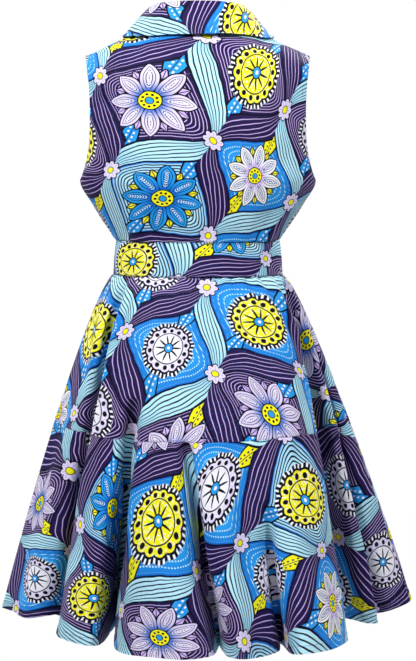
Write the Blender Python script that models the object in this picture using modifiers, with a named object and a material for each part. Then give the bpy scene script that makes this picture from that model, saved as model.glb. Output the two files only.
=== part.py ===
"""A girl's sleeveless wax print dress, worn shape, nobody in it.

Metres, +Z up. The back of the dress faces -Y and its front +Y; +X is the wearer's
right. The origin is between the two shoulder seams, where the wearer carries it.

Every piece is a cloth wall: an open surface worked out from the tables below, with
a Solidify of WALL on it. Neighbouring pieces stop SEAM_GAP short of each other.
"""

import math

import bpy

# ---------------------------------------------------------------- driving sizes

WALL = 0.0015  # cloth with its turned hems and seam allowances
SEAM_GAP = 0.0006  # between the middles of two walls' edges at a side seam
TURN_GAP = 0.0011  # at a level seam, where the wall changes its slope

WAIST_TOP_Z = -0.2575
WAIST_BOTTOM_Z = -0.3032
WAIST_TOP_HALF = (0.1078, 0.0850)  # half width, half depth
WAIST_BOTTOM_HALF = (0.1116, 0.0890)

UNDERARM_Z = -0.1795
CHEST_TOP_Z = -0.064  # above it the cloth turns over the shoulder
TIP_HALF = 0.1470  # shoulder tips
TIP_Z = -0.0165
NECK_HALF = 0.068  # neck ends of the shoulder seams
NECK_Z = 0.019
NECK_BACK_Z = 0.010  # neck seam at the centre back
NECK_FRONT_Z = -0.095  # foot of the V at the centre front
NECK_V_POWER = 1.15

SKIRT_LENGTH = 0.486  # waist seam to hem, along the cloth
TIER_AT = 0.44  # the level seam between the two tiers, as a share of that
HEM_HALF = (0.2450, 0.1950)  # mean ring of the hem, before the folds
HEM_CENTRE_X = 0.012
FLARE_POWER = 0.76

# Bodice sections, from the waist up: height, half width at the side seam or armhole
# edge, and for the back and the front the depth at the centre and at that edge.
BODICE = (
    # z, half, back_mid, back_edge, front_mid, front_edge
    (-0.2575, 0.1078, 0.0850, 0.0, 0.0850, 0.0),
    (-0.2420, 0.1185, 0.0880, 0.0, 0.0885, 0.0),
    (-0.2270, 0.1290, 0.0915, 0.0, 0.0930, 0.0),
    (-0.2090, 0.1402, 0.0955, 0.0, 0.0985, 0.0),
    (-0.1795, 0.1556, 0.1010, 0.0, 0.1050, 0.0),
    (-0.1750, 0.1528, 0.1016, 0.0170, 0.1053, 0.0180),
    (-0.1670, 0.1493, 0.1028, 0.0270, 0.1058, 0.0290),
    (-0.1550, 0.1456, 0.1038, 0.0350, 0.1058, 0.0380),
    (-0.1400, 0.1421, 0.1045, 0.0410, 0.1052, 0.0440),
    (-0.1150, 0.1398, 0.1045, 0.0460, 0.1030, 0.0490),
    (-0.0930, 0.1394, 0.1020, 0.0480, 0.0990, 0.0500),
    (-0.0640, 0.1402, 0.0970, 0.0470, 0.0930, 0.0480),
    (-0.0300, 0.1443, 0.0970, 0.0470, 0.0930, 0.0480),
    (-0.0165, 0.1470, 0.0970, 0.0470, 0.0930, 0.0480),
)
BODICE_COLUMNS = (
    "z",
    "half",
    "back_mid",
    "back_edge",
    "front_mid",
    "front_edge",
)
SECTION_POWER = 2.35

# Collar, from the centre back to the foot of the V: where its seam lies on the neck
# edge (0 at the centre back, 1 at the shoulder seam, 2 at the foot of the V), its
# fold above that seam, and where its outer edge lies on the bodice.
COLLAR = (
    # seam_at, fold_x, fold_y, fold_z, edge_side, edge_x, edge_z
    (0.00, 0.0000, -0.0555, 0.0505, "back", 0.000, 0.0050),
    (0.30, 0.0300, -0.0510, 0.0500, "back", 0.034, 0.0050),
    (0.60, 0.0535, -0.0340, 0.0478, "back", 0.063, 0.0050),
    (1.00, 0.0665, -0.0010, 0.0425, "back", 0.091, 0.0040),
    (1.13, 0.0675, 0.0210, 0.0395, "front", 0.096, 0.0000),
    (1.27, 0.0655, 0.0420, 0.0290, "front", 0.099, -0.0180),
    (1.50, 0.0520, 0.0790, -0.0050, "front", 0.098, -0.0450),
    (1.72, 0.0330, 0.0985, -0.0420, "front", 0.092, -0.0680),
    (1.88, 0.0175, 0.1045, -0.0700, "front", 0.080, -0.0850),
    (1.96, 0.0080, 0.1060, -0.0880, "front", 0.066, -0.0960),
)

# Skirt fold lines, once round from the left side over the back. Each line runs from
# the waist seam at an angle (0 at the centre back, 90 on the wearer's right) to a
# place on the hem, and leaves the smooth cone at a share of the skirt's length.
FOLD_LINES = (
    # name, waist_deg, hem_x, hem_y, start, ease
    ("side_left_outer", -94, -0.2665, 0.0300, 0.00, 0.85),
    ("r1_front", -86, -0.2500, -0.0020, 0.00, 1.1),
    ("r1_back", -74, -0.2240, -0.0580, 0.05, 1.2),
    ("r1_turn", -62, -0.2000, -0.0600, 0.06, 1.0),
    ("v1", -56, -0.1500, 0.0050, 0.04, 0.9),
    ("r2_edge", -50, -0.1860, -0.0800, 0.12, 1.0),
    ("r2_crest", -45, -0.1700, -0.1140, 0.10, 1.2),
    ("r2_crest_right", -41, -0.1400, -0.1330, 0.20, 1.2),
    ("r2_turn", -37, -0.1260, -0.1030, 0.36, 1.1),
    ("v2", -31, -0.1040, -0.0200, 0.33, 0.8),
    ("r3_edge", -26, -0.1080, -0.1120, 0.36, 1.1),
    ("r3_left", -23, -0.0920, -0.1660, 0.25, 1.3),
    ("r3_crest_left", -20, -0.0590, -0.1930, 0.15, 1.3),
    ("r3_crest", -17, -0.0183, -0.2080, 0.15, 1.3),
    ("r3_right", -14, 0.0098, -0.1950, 0.35, 1.2),
    ("r3_turn", -11, 0.0200, -0.1640, 0.46, 1.0),
    ("v3", -8, 0.0270, -0.1240, 0.44, 0.65),
    ("r4_edge", -4, 0.0370, -0.1820, 0.46, 1.0),
    ("r4_crest", 4, 0.0530, -0.2080, 0.30, 1.3),
    ("r4_right", 12, 0.0770, -0.1830, 0.45, 1.2),
    ("r4_turn", 18, 0.1000, -0.1520, 0.65, 1.1),
    ("v4", 22, 0.1060, -0.1200, 0.60, 0.75),
    ("r5_edge", 26, 0.1160, -0.1680, 0.62, 1.1),
    ("r5_crest", 34, 0.1320, -0.1910, 0.20, 1.3),
    ("r5_right", 48, 0.1660, -0.1640, 0.05, 1.2),
    ("r5_corner", 60, 0.1900, -0.1180, 0.02, 0.8),
    ("r5_turn", 68, 0.1940, -0.0760, 0.02, 0.7),
    ("v5", 73, 0.1530, -0.0120, 0.02, 0.62),
    ("v5_behind", 79, 0.1760, 0.0260, 0.02, 0.7),
    ("r6_left", 82, 0.2070, 0.0040, 0.04, 0.8),
    ("r6_crest", 85, 0.2270, -0.0210, 0.04, 0.9),
    ("r6_edge", 87, 0.2410, -0.0180, 0.06, 1.0),
    ("v6", 89, 0.2330, 0.0230, 0.08, 1.0),
    ("r7_left", 91, 0.2600, 0.0140, 0.06, 1.3),
    ("side_right_outer", 94, 0.2900, 0.0350, 0.00, 1.2),
    ("f1_crest", 98, 0.2880, 0.0740, 0.00, 1.2),
    ("f1_turn", 104, 0.2520, 0.0960, 0.12, 1.0),
    ("fv1", 109, 0.2010, 0.0780, 0.10, 0.8),
    ("f2_edge", 115, 0.2320, 0.1300, 0.12, 1.0),
    ("f2_crest", 121, 0.2190, 0.1640, 0.05, 1.2),
    ("f2_turn", 127, 0.1800, 0.1720, 0.28, 1.1),
    ("fv2", 131, 0.1450, 0.1150, 0.26, 0.8),
    ("f3_edge", 136, 0.1500, 0.1820, 0.28, 1.1),
    ("f3_crest_right", 143, 0.1250, 0.2120, 0.10, 1.3),
    ("f3_crest", 151, 0.0870, 0.2200, 0.10, 1.3),
    ("f3_turn", 158, 0.0600, 0.1880, 0.40, 1.1),
    ("fv3", 163, 0.0450, 0.1330, 0.38, 0.8),
    ("f4_edge", 168, 0.0330, 0.1940, 0.40, 1.1),
    ("f4_crest", 176, 0.0040, 0.2260, 0.10, 1.3),
    ("f4_crest_left", 185, -0.0340, 0.2240, 0.10, 1.3),
    ("f4_turn", 193, -0.0620, 0.1900, 0.52, 1.1),
    ("fv4", 198, -0.0700, 0.1360, 0.48, 0.75),
    ("f5_edge", 203, -0.0920, 0.1880, 0.48, 1.1),
    ("f5_crest", 212, -0.1240, 0.2080, 0.10, 1.3),
    ("f5_turn", 220, -0.1540, 0.1740, 0.22, 1.1),
    ("fv5", 226, -0.1440, 0.1080, 0.20, 0.8),
    ("f6_edge", 232, -0.1900, 0.1500, 0.22, 1.1),
    ("f6_crest", 240, -0.2170, 0.1300, 0.05, 1.2),
    ("f6_turn", 246, -0.2200, 0.0900, 0.12, 1.0),
    ("fv6", 251, -0.1800, 0.0560, 0.10, 0.8),
    ("f7_edge", 257, -0.2340, 0.0720, 0.10, 1.0),
)
# How much higher than the rest of the hem a fold line ends.
HEM_RISE = {
    "side_left_outer": 0.002,
    "r1_front": 0.010,
    "r1_back": 0.018,
    "r1_turn": 0.026,
    "v1": 0.020,
    "r2_edge": 0.007,
    "r2_crest": 0.006,
    "r2_crest_right": 0.006,
    "r2_turn": 0.003,
    "v2": 0.001,
    "r3_edge": 0.002,
    "r3_left": 0.003,
    "r3_crest_left": 0.003,
    "r5_crest": -0.001,
    "r5_right": -0.002,
    "v5": 0.006,
    "v5_behind": 0.010,
    "r6_left": 0.006,
    "r6_crest": 0.002,
    "r6_edge": -0.002,
    "r7_left": 0.003,
}
SIDE_SEAMS = ("side_left_outer", "side_right_outer")
PER_LINE = 2  # columns of cloth between two fold lines
UPPER_ROWS = (0.0, 0.06, 0.14, 0.24, 0.34, TIER_AT)
LOWER_ROWS = (TIER_AT, 0.56, 0.68, 0.79, 0.90, 1.0)

NAVY = (0.026, 0.017, 0.114, 1.0)
BLUE = (0.020, 0.262, 0.610, 1.0)
PALE = (0.456, 0.750, 0.913, 1.0)
LAVENDER = (0.680, 0.604, 0.871, 1.0)


# ---------------------------------------------------------------- small helpers


def clear_scene():
    for obj in list(bpy.data.objects):
        bpy.data.objects.remove(obj, do_unlink=True)


def hermite(xs, ys, x):
    """A smooth line through (xs, ys), which never swings past its points."""
    if x <= xs[0]:
        return ys[0]
    if x >= xs[-1]:
        return ys[-1]
    i = max(k for k in range(len(xs) - 1) if xs[k] <= x)
    slopes = [(ys[k + 1] - ys[k]) / (xs[k + 1] - xs[k]) for k in range(len(xs) - 1)]

    def tangent(k):
        if k == 0 or k == len(xs) - 1:
            return slopes[0 if k == 0 else -1]
        a, b = slopes[k - 1], slopes[k]
        return 0.0 if a * b <= 0 else 2 * a * b / (a + b)

    h = xs[i + 1] - xs[i]
    s = (x - xs[i]) / h
    return (
        ys[i] * (2 * s**3 - 3 * s**2 + 1)
        + ys[i + 1] * (3 * s**2 - 2 * s**3)
        + tangent(i) * h * (s**3 - 2 * s**2 + s)
        + tangent(i + 1) * h * (s**3 - s**2)
    )


def catmull(p0, p1, p2, p3, s):
    """A point at s between p1 and p2 of a centripetal curve through all four."""

    def span(a, b):
        return max(math.dist(a, b), 1e-9) ** 0.5

    t0 = 0.0
    t1 = t0 + span(p0, p1)
    t2 = t1 + span(p1, p2)
    t3 = t2 + span(p2, p3)
    t = t1 + (t2 - t1) * s

    def mix(a, b, ta, tb):
        return tuple((tb - t) / (tb - ta) * u + (t - ta) / (tb - ta) * v for u, v in zip(a, b))

    a1, a2, a3 = mix(p0, p1, t0, t1), mix(p1, p2, t1, t2), mix(p2, p3, t2, t3)
    return mix(mix(a1, a2, t0, t2), mix(a2, a3, t1, t3), t1, t2)


def bodice_value(column, z):
    k = BODICE_COLUMNS.index(column)
    return hermite([row[0] for row in BODICE], [row[k] for row in BODICE], z)


# ---------------------------------------------------------------- bodice


def crest(x):
    """Height of the shoulder line at x, run on inwards over the neck hole."""
    x = abs(x)
    if x <= NECK_HALF:
        return NECK_Z + (NECK_HALF - x) * 0.3
    return NECK_Z + (TIP_Z - NECK_Z) * (x - NECK_HALF) / (TIP_HALF - NECK_HALF)


def torso_depth(side, x, z):
    """How far the bodice lies from the shoulder plane at x and z."""
    low = min(z, CHEST_TOP_Z)
    mid, edge = bodice_value(side + "_mid", low), bodice_value(side + "_edge", low)
    share = min(abs(x) / bodice_value("half", z), 1.0)
    round_ = (1 - share**SECTION_POWER) ** 0.5
    depth = mid * round_ + edge * (1 - round_) ** 2
    if z > CHEST_TOP_Z:
        rise = (z - CHEST_TOP_Z) / (crest(x) - CHEST_TOP_Z)
        depth *= max(1 - min(rise, 1.0) ** 2, 0.0) ** 0.5
    return depth


def torso_point(side, x, z):
    turn = -1 if side == "back" else 1
    return (x, turn * torso_depth(side, x, z), z)


def neck_z(side, x):
    share = min(abs(x) / NECK_HALF, 1.0)
    if side == "back":
        return NECK_BACK_Z + (NECK_Z - NECK_BACK_Z) * share**2
    return NECK_FRONT_Z + (NECK_Z - NECK_FRONT_Z) * share**NECK_V_POWER


def bodice_point(side, u, v):
    """u runs from -1 to 1 across, v from 0 at the waist over 1 at the underarm to 2."""
    if v <= 1:
        z = WAIST_TOP_Z + TURN_GAP + (UNDERARM_Z - WAIST_TOP_Z - TURN_GAP) * v
        x = bodice_value("half", z) * u
        return torso_point(side, x, z)
    neck_u = NECK_HALF / TIP_HALF
    if abs(u) <= neck_u:
        top_x = NECK_HALF * math.sin(math.pi / 2 * u / neck_u)
        top_z = neck_z(side, top_x)
    else:
        top_x = math.copysign(
            NECK_HALF + (TIP_HALF - NECK_HALF) * (abs(u) - neck_u) / (1 - neck_u), u
        )
        top_z = crest(top_x)
    g = math.sin(math.pi / 2 * (v - 1))
    z = UNDERARM_Z + (top_z - UNDERARM_Z) * g
    top_share = top_x / bodice_value("half", top_z)
    x = bodice_value("half", z) * (u + (top_share - u) * g**1.5)
    return torso_point(side, x, z)


def bodice_grid(side):
    """Rows from the waist up. The last one stops short of the shoulder and neck seams."""
    neck_u = NECK_HALF / TIP_HALF
    half = [neck_u * k / 5 for k in range(6)] + [
        neck_u + (1 - neck_u) * k / 4 for k in range(1, 5)
    ]
    across = [-u for u in reversed(half[1:])] + half
    low = [0.0, 0.25, 0.5, 0.75, 1.0]
    high = [1.025, 1.075, 1.17, 1.31, 1.45, 1.58, 1.69, 1.77, 1.84]
    rows = [[bodice_point(side, u, v) for u in across] for v in low + high]
    # The last row stops short of the shoulder seam, and a wall more of the collar.
    last = []
    for u, below in zip(across, rows[-1]):
        top = bodice_point(side, u, 2.0)
        far = math.dist(top, below)
        short = WALL if abs(u) < neck_u + 0.01 else SEAM_GAP
        keep = max(0.0, 1 - short / far)
        last.append(tuple(b + (t - b) * keep for b, t in zip(below, top)))
    rows.append(last)
    # The two halves stand a little clear of the side plane below the armholes.
    clear = SEAM_GAP / 2
    turn = -1 if side == "back" else 1
    return [
        [(x, turn * max(turn * y, clear), z) for x, y, z in row] for row in rows
    ]


# ---------------------------------------------------------------- collar


def neck_point(at):
    """A point of the neck edge: 0 at the centre back, 1 at the shoulder, 2 at the V's foot."""
    side = "back" if at <= 1 else "front"
    x = NECK_HALF * math.sin(math.pi / 2 * (at if at <= 1 else 2 - at))
    return torso_point(side, x, neck_z(side, x))


def collar_line(points, share):
    """A smooth curve through a value of every station, 0 to 1 from the back to the V."""
    at = share * (len(points) - 1)
    i = min(int(at), len(points) - 2)
    before = points[i - 1] if i else tuple(2 * a - b for a, b in zip(points[0], points[1]))
    if i == 0:
        before = (-points[1][0], *points[1][1:])
    after = (
        points[i + 2]
        if i + 2 < len(points)
        else tuple(2 * a - b for a, b in zip(points[-1], points[-2]))
    )
    return catmull(before, points[i], points[i + 1], after, at - i)


def collar_section(share):
    """(seam, fold, edge) of the right half at a share of the way from the back to the V."""
    folds, edges = [], []
    for _, fold_x, fold_y, fold_z, side, edge_x, edge_z in COLLAR:
        folds.append((fold_x, fold_y, fold_z))
        edge = torso_point(side, edge_x, min(edge_z, crest(edge_x) - 0.0002))
        edges.append(clear_of_bodice(edge, 0.0050))
    at = share * (len(COLLAR) - 1)
    i = min(int(at), len(COLLAR) - 2)
    seam_at = COLLAR[i][0] + (COLLAR[i + 1][0] - COLLAR[i][0]) * (at - i)
    return neck_point(seam_at), collar_line(folds, share), collar_line(edges, share)


def off_bodice(p):
    """About how far p lies outside the bodice's middle surface."""

    def level(x, y, z):
        side = "back" if y < 0 else "front"
        low = min(z, CHEST_TOP_Z)
        depth = max(torso_depth(side, x, low), 0.004)
        rise = max(z - CHEST_TOP_Z, 0.0) / (crest(x) - CHEST_TOP_Z)
        return math.hypot(y / depth, rise) - 1

    step = 0.0004
    here = level(*p)
    slope = []
    for k in range(3):
        q = list(p)
        q[k] += step
        slope.append((level(*q) - here) / step)
    size = math.sqrt(sum(c * c for c in slope))
    return here / size, [c / size for c in slope]


def clear_of_bodice(p, gap):
    """p, moved straight out where it would lie within gap of the bodice's middle."""
    for _ in range(4):
        away, out = off_bodice(p)
        if away >= gap:
            break
        p = tuple(c + n * (gap - away) for c, n in zip(p, out))
    return p


def collar_grids():
    half = 2 * (len(COLLAR) - 1)
    stand, fall = [[] for _ in range(3)], [[] for _ in range(6)]
    for k in range(-half, half + 1):
        seam, fold, edge = (
            (math.copysign(p[0], k) if k else 0.0, p[1], p[2])
            for p in collar_section(abs(k) / half)
        )
        up = [f - s for s, f in zip(seam, fold)]
        high = math.sqrt(sum(c * c for c in up))
        up = [c / high for c in up]
        start = [s + c * min(WALL + SEAM_GAP, 0.3 * high) for s, c in zip(seam, up)]
        stop = [f - c * min(0.0030, 0.35 * high) for f, c in zip(fold, up)]
        for row, share in zip(stand, (0.0, 0.5, 1.0)):
            row.append(tuple(a + (b - a) * share for a, b in zip(start, stop)))
        out = [e - f for e, f in zip(edge, fold)]
        wide = math.sqrt(sum(c * c for c in out))
        out = [c / wide for c in out]
        roll = [u * 0.0014 + o * 0.0004 for u, o in zip(up, out)]
        over = [u * 0.0006 + o * 0.0042 for u, o in zip(up, out)]
        away = math.hypot(fold[0], fold[1]) or 1.0
        bulge = (fold[0] / away * 0.0020, fold[1] / away * 0.0020, 0.0)
        path = [
            tuple(f + r for f, r in zip(fold, roll)),
            tuple(f + r + b for f, r, b in zip(fold, over, bulge)),
        ]
        for share in (0.33, 0.62, 0.84, 1.0):
            crown = math.sin(math.pi * share) * 0.5 + (1 - share)
            path.append(
                tuple(f + (e - f) * share + b * crown for f, e, b in zip(fold, edge, bulge))
            )
        for row, p in zip(fall, path):
            row.append(clear_of_bodice(p, 0.0042))
    return stand, fall


# ---------------------------------------------------------------- skirt


def cone(angle, t):
    """The smooth skirt, before any fold, at an angle and a share of its length."""
    g = t**FLARE_POWER
    a = WAIST_BOTTOM_HALF[0] + (HEM_HALF[0] - WAIST_BOTTOM_HALF[0]) * g
    b = WAIST_BOTTOM_HALF[1] + (HEM_HALF[1] - WAIST_BOTTOM_HALF[1]) * g
    return (HEM_CENTRE_X * g + a * math.sin(angle), -b * math.cos(angle))


def fold_line(row, shares):
    """A fold line's points at these shares of the skirt's length, each as long from the waist as the cloth."""
    name, waist_deg, hem_x, hem_y, start, ease = row
    rise = HEM_RISE.get(name, 0.0)
    angle = math.radians(waist_deg)
    end = cone(angle, 1.0)

    def plan(t):
        x, y = cone(angle, t)
        s = max(0.0, (t - start) / (1 - start))
        h = s**ease * (1 - 0.25 * (1 - s) ** 2)
        return (x + (hem_x - end[0]) * h, y + (hem_y - end[1]) * h)

    steps = 60
    points, z, wanted = [], WAIST_BOTTOM_Z - TURN_GAP, list(shares)
    last = plan(0.0)
    for k in range(steps + 1):
        t = k / steps
        here = plan(t)
        if k:
            run = SKIRT_LENGTH / steps
            flat = min(math.dist(here, last), 0.8 * run)
            z -= math.sqrt(run**2 - flat**2)
        while wanted and wanted[0] <= t + 1e-9:
            share = wanted.pop(0)
            points.append((*plan(share), z + rise * share**3))
        last = here
    return points


def skirt_ring(lines, level):
    """(points of one level once round, index of each fold line's own point)."""
    at = [line[level] for line in lines]
    n, ring = len(at), []
    for i in range(n):
        for k in range(PER_LINE):
            ring.append(catmull(at[i - 1], at[i], at[(i + 1) % n], at[(i + 2) % n], k / PER_LINE))
    return ring


def skirt_grid(lines, levels, side, top_gap, bottom_gap):
    """Rows of one half of one tier, from its upper seam down."""
    names = [row[0] for row in FOLD_LINES]
    first, last = (names.index(name) * PER_LINE for name in SIDE_SEAMS)
    count = len(names) * PER_LINE
    columns = (
        list(range(first, last + 1))
        if side == "back"
        else list(range(last, count)) + list(range(0, first + 1))
    )
    rows = []
    for level in levels:
        ring = skirt_ring(lines, level)
        row = [ring[c] for c in columns]
        for end, nxt in ((0, 1), (-1, -2)):
            far = math.dist(row[end], row[nxt])
            keep = SEAM_GAP / far
            row[end] = tuple(a + (b - a) * keep for a, b in zip(row[end], row[nxt]))
        rows.append(row)
    for a, b, gap in ((0, 1, top_gap), (-1, -2, bottom_gap)):
        if gap:
            rows[a] = [
                tuple(p + (q - p) * gap / math.dist(u, v) for p, q in zip(u, v))
                for u, v in zip(rows[a], rows[b])
            ]
    return rows


# ---------------------------------------------------------------- waistband


def waistband_grid(side, columns=18):
    """Half of the band; side 1 is the front."""
    rows = []
    for k in range(3):
        share = k / 2
        a, b = (
            top + (low - top) * share for top, low in zip(WAIST_TOP_HALF, WAIST_BOTTOM_HALF)
        )
        z = WAIST_TOP_Z + (WAIST_BOTTOM_Z - WAIST_TOP_Z) * share
        gap = SEAM_GAP / 2 / a
        turn = -1 if side == "back" else 1
        row = []
        for c in range(columns + 1):
            angle = -math.pi / 2 + gap + (math.pi - 2 * gap) * c / columns
            row.append((a * math.sin(angle), turn * b * math.cos(angle), z))
        rows.append(row)
    return rows


# ---------------------------------------------------------------- making the pieces


def material(name, colour, roughness):
    mat = bpy.data.materials.new(name)
    mat.use_nodes = True
    shader = mat.node_tree.nodes["Principled BSDF"]
    shader.inputs["Base Color"].default_value = colour
    shader.inputs["Roughness"].default_value = roughness
    shader.inputs["Metallic"].default_value = 0.0
    mat.diffuse_color = colour
    return mat


def cloth_piece(collection, name, rows, mat):
    """A wall on a grid of points, its rows as listed."""
    wide = len(rows[0])
    points = [p for row in rows for p in row]
    faces = [
        (r * wide + c, r * wide + c + 1, (r + 1) * wide + c + 1, (r + 1) * wide + c)
        for r in range(len(rows) - 1)
        for c in range(wide - 1)
    ]
    mesh = bpy.data.meshes.new(name)
    mesh.from_pydata(points, [], faces)
    mesh.materials.append(mat)
    mesh.shade_smooth()
    obj = bpy.data.objects.new(name, mesh)
    collection.objects.link(obj)
    shell = obj.modifiers.new("cloth_wall", "SOLIDIFY")
    shell.thickness = WALL
    shell.offset = 0.0
    shell.use_even_offset = True
    shell.use_quality_normals = True
    return obj


def main():
    clear_scene()
    collection = bpy.data.collections.new("wax_print_dress")
    bpy.context.scene.collection.children.link(collection)

    for side, colour in (("back", NAVY), ("front", NAVY)):
        cloth_piece(
            collection,
            f"bodice_{side}",
            bodice_grid(side),
            material(f"bodice_{side}_cloth", colour, 0.78),
        )

    stand, fall = collar_grids()
    cloth_piece(collection, "collar_stand", stand, material("collar_stand_cloth", BLUE, 0.78))
    cloth_piece(collection, "collar_fall", fall, material("collar_fall_cloth", PALE, 0.78))

    for side in ("back", "front"):
        cloth_piece(
            collection,
            f"waistband_{side}",
            waistband_grid(side),
            material(f"waistband_{side}_cloth", LAVENDER, 0.78),
        )

    shares = sorted(set(UPPER_ROWS + LOWER_ROWS))
    lines = [fold_line(row, shares) for row in FOLD_LINES]
    upper = [shares.index(t) for t in UPPER_ROWS]
    lower = [shares.index(t) for t in LOWER_ROWS]
    for side in ("back", "front"):
        cloth_piece(
            collection,
            f"skirt_upper_{side}",
            skirt_grid(lines, upper, side, 0.0, SEAM_GAP / 2),
            material(f"skirt_upper_{side}_cloth", BLUE, 0.8),
        )
        cloth_piece(
            collection,
            f"skirt_lower_{side}",
            skirt_grid(lines, lower, side, SEAM_GAP / 2, 0.0),
            material(f"skirt_lower_{side}_cloth", PALE, 0.8),
        )


main()
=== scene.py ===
"""The looks of a girl's sleeveless wax print dress, worn shape, nobody in it.

Metres, +Z up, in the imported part's frame: the back of the dress faces -Y, its front
+Y, and +X is the wearer's right. Each sewn piece is a thin cloth shell on its solid's
form, worked out from the same tables, with its seams, hems, stitches and creases.
"""

import math

import bpy
import numpy as np
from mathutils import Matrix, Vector


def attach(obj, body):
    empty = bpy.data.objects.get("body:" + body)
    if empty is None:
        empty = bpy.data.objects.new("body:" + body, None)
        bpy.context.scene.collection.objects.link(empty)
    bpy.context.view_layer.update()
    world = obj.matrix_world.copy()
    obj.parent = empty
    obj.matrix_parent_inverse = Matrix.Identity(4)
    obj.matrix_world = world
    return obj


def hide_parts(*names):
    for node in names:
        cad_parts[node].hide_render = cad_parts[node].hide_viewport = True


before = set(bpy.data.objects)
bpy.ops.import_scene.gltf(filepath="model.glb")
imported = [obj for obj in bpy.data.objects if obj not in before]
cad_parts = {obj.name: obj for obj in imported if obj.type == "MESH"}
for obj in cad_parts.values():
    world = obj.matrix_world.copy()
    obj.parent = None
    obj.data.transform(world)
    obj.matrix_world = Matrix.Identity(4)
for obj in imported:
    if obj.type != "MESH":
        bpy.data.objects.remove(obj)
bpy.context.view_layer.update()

# ---------------------------------------------------------------- sizes of the cut

SEAM_GAP = 0.00015  # from a piece's edge to the middle of its seam
CLOTH = 0.0007  # one layer of the cotton
TURNED = 0.0016  # a turned edge: hem, armhole
DOUBLE = 0.0015  # two layers sewn together: collar, waistband

WAIST_TOP_Z = -0.2575
WAIST_BOTTOM_Z = -0.3032
WAIST_TOP_HALF = (0.1078, 0.0850)
WAIST_BOTTOM_HALF = (0.1116, 0.0890)

UNDERARM_Z = -0.1795
CHEST_TOP_Z = -0.064
TIP_HALF = 0.1470
TIP_Z = -0.0165
NECK_HALF = 0.068
NECK_Z = 0.019
NECK_BACK_Z = 0.010
NECK_FRONT_Z = -0.095
NECK_V_POWER = 1.15

SKIRT_LENGTH = 0.486
TIER_AT = 0.44
HEM_HALF = (0.2450, 0.1950)
HEM_CENTRE_X = 0.012
FLARE_POWER = 0.76

BODICE = (
    # z, half, back_mid, back_edge, front_mid, front_edge
    (-0.2575, 0.1078, 0.0850, 0.0, 0.0850, 0.0),
    (-0.2420, 0.1185, 0.0880, 0.0, 0.0885, 0.0),
    (-0.2270, 0.1290, 0.0915, 0.0, 0.0930, 0.0),
    (-0.2090, 0.1402, 0.0955, 0.0, 0.0985, 0.0),
    (-0.1795, 0.1556, 0.1010, 0.0, 0.1050, 0.0),
    (-0.1750, 0.1528, 0.1016, 0.0170, 0.1053, 0.0180),
    (-0.1670, 0.1493, 0.1028, 0.0270, 0.1058, 0.0290),
    (-0.1550, 0.1456, 0.1038, 0.0350, 0.1058, 0.0380),
    (-0.1400, 0.1421, 0.1045, 0.0410, 0.1052, 0.0440),
    (-0.1150, 0.1398, 0.1045, 0.0460, 0.1030, 0.0490),
    (-0.0930, 0.1394, 0.1020, 0.0480, 0.0990, 0.0500),
    (-0.0640, 0.1402, 0.0970, 0.0470, 0.0930, 0.0480),
    (-0.0300, 0.1443, 0.0970, 0.0470, 0.0930, 0.0480),
    (-0.0165, 0.1470, 0.0970, 0.0470, 0.0930, 0.0480),
)
BODICE_COLUMNS = ("z", "half", "back_mid", "back_edge", "front_mid", "front_edge")
SECTION_POWER = 2.35

COLLAR = (
    # seam_at, fold_x, fold_y, fold_z, edge_side, edge_x, edge_z
    (0.00, 0.0000, -0.0555, 0.0505, "back", 0.000, 0.0050),
    (0.30, 0.0300, -0.0510, 0.0500, "back", 0.034, 0.0050),
    (0.60, 0.0535, -0.0340, 0.0478, "back", 0.063, 0.0050),
    (1.00, 0.0665, -0.0010, 0.0425, "back", 0.091, 0.0040),
    (1.13, 0.0675, 0.0210, 0.0395, "front", 0.096, 0.0000),
    (1.27, 0.0655, 0.0420, 0.0290, "front", 0.099, -0.0180),
    (1.50, 0.0520, 0.0790, -0.0050, "front", 0.098, -0.0450),
    (1.72, 0.0330, 0.0985, -0.0420, "front", 0.092, -0.0680),
    (1.88, 0.0175, 0.1045, -0.0700, "front", 0.080, -0.0850),
    (1.96, 0.0080, 0.1060, -0.0880, "front", 0.066, -0.0960),
)

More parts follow.
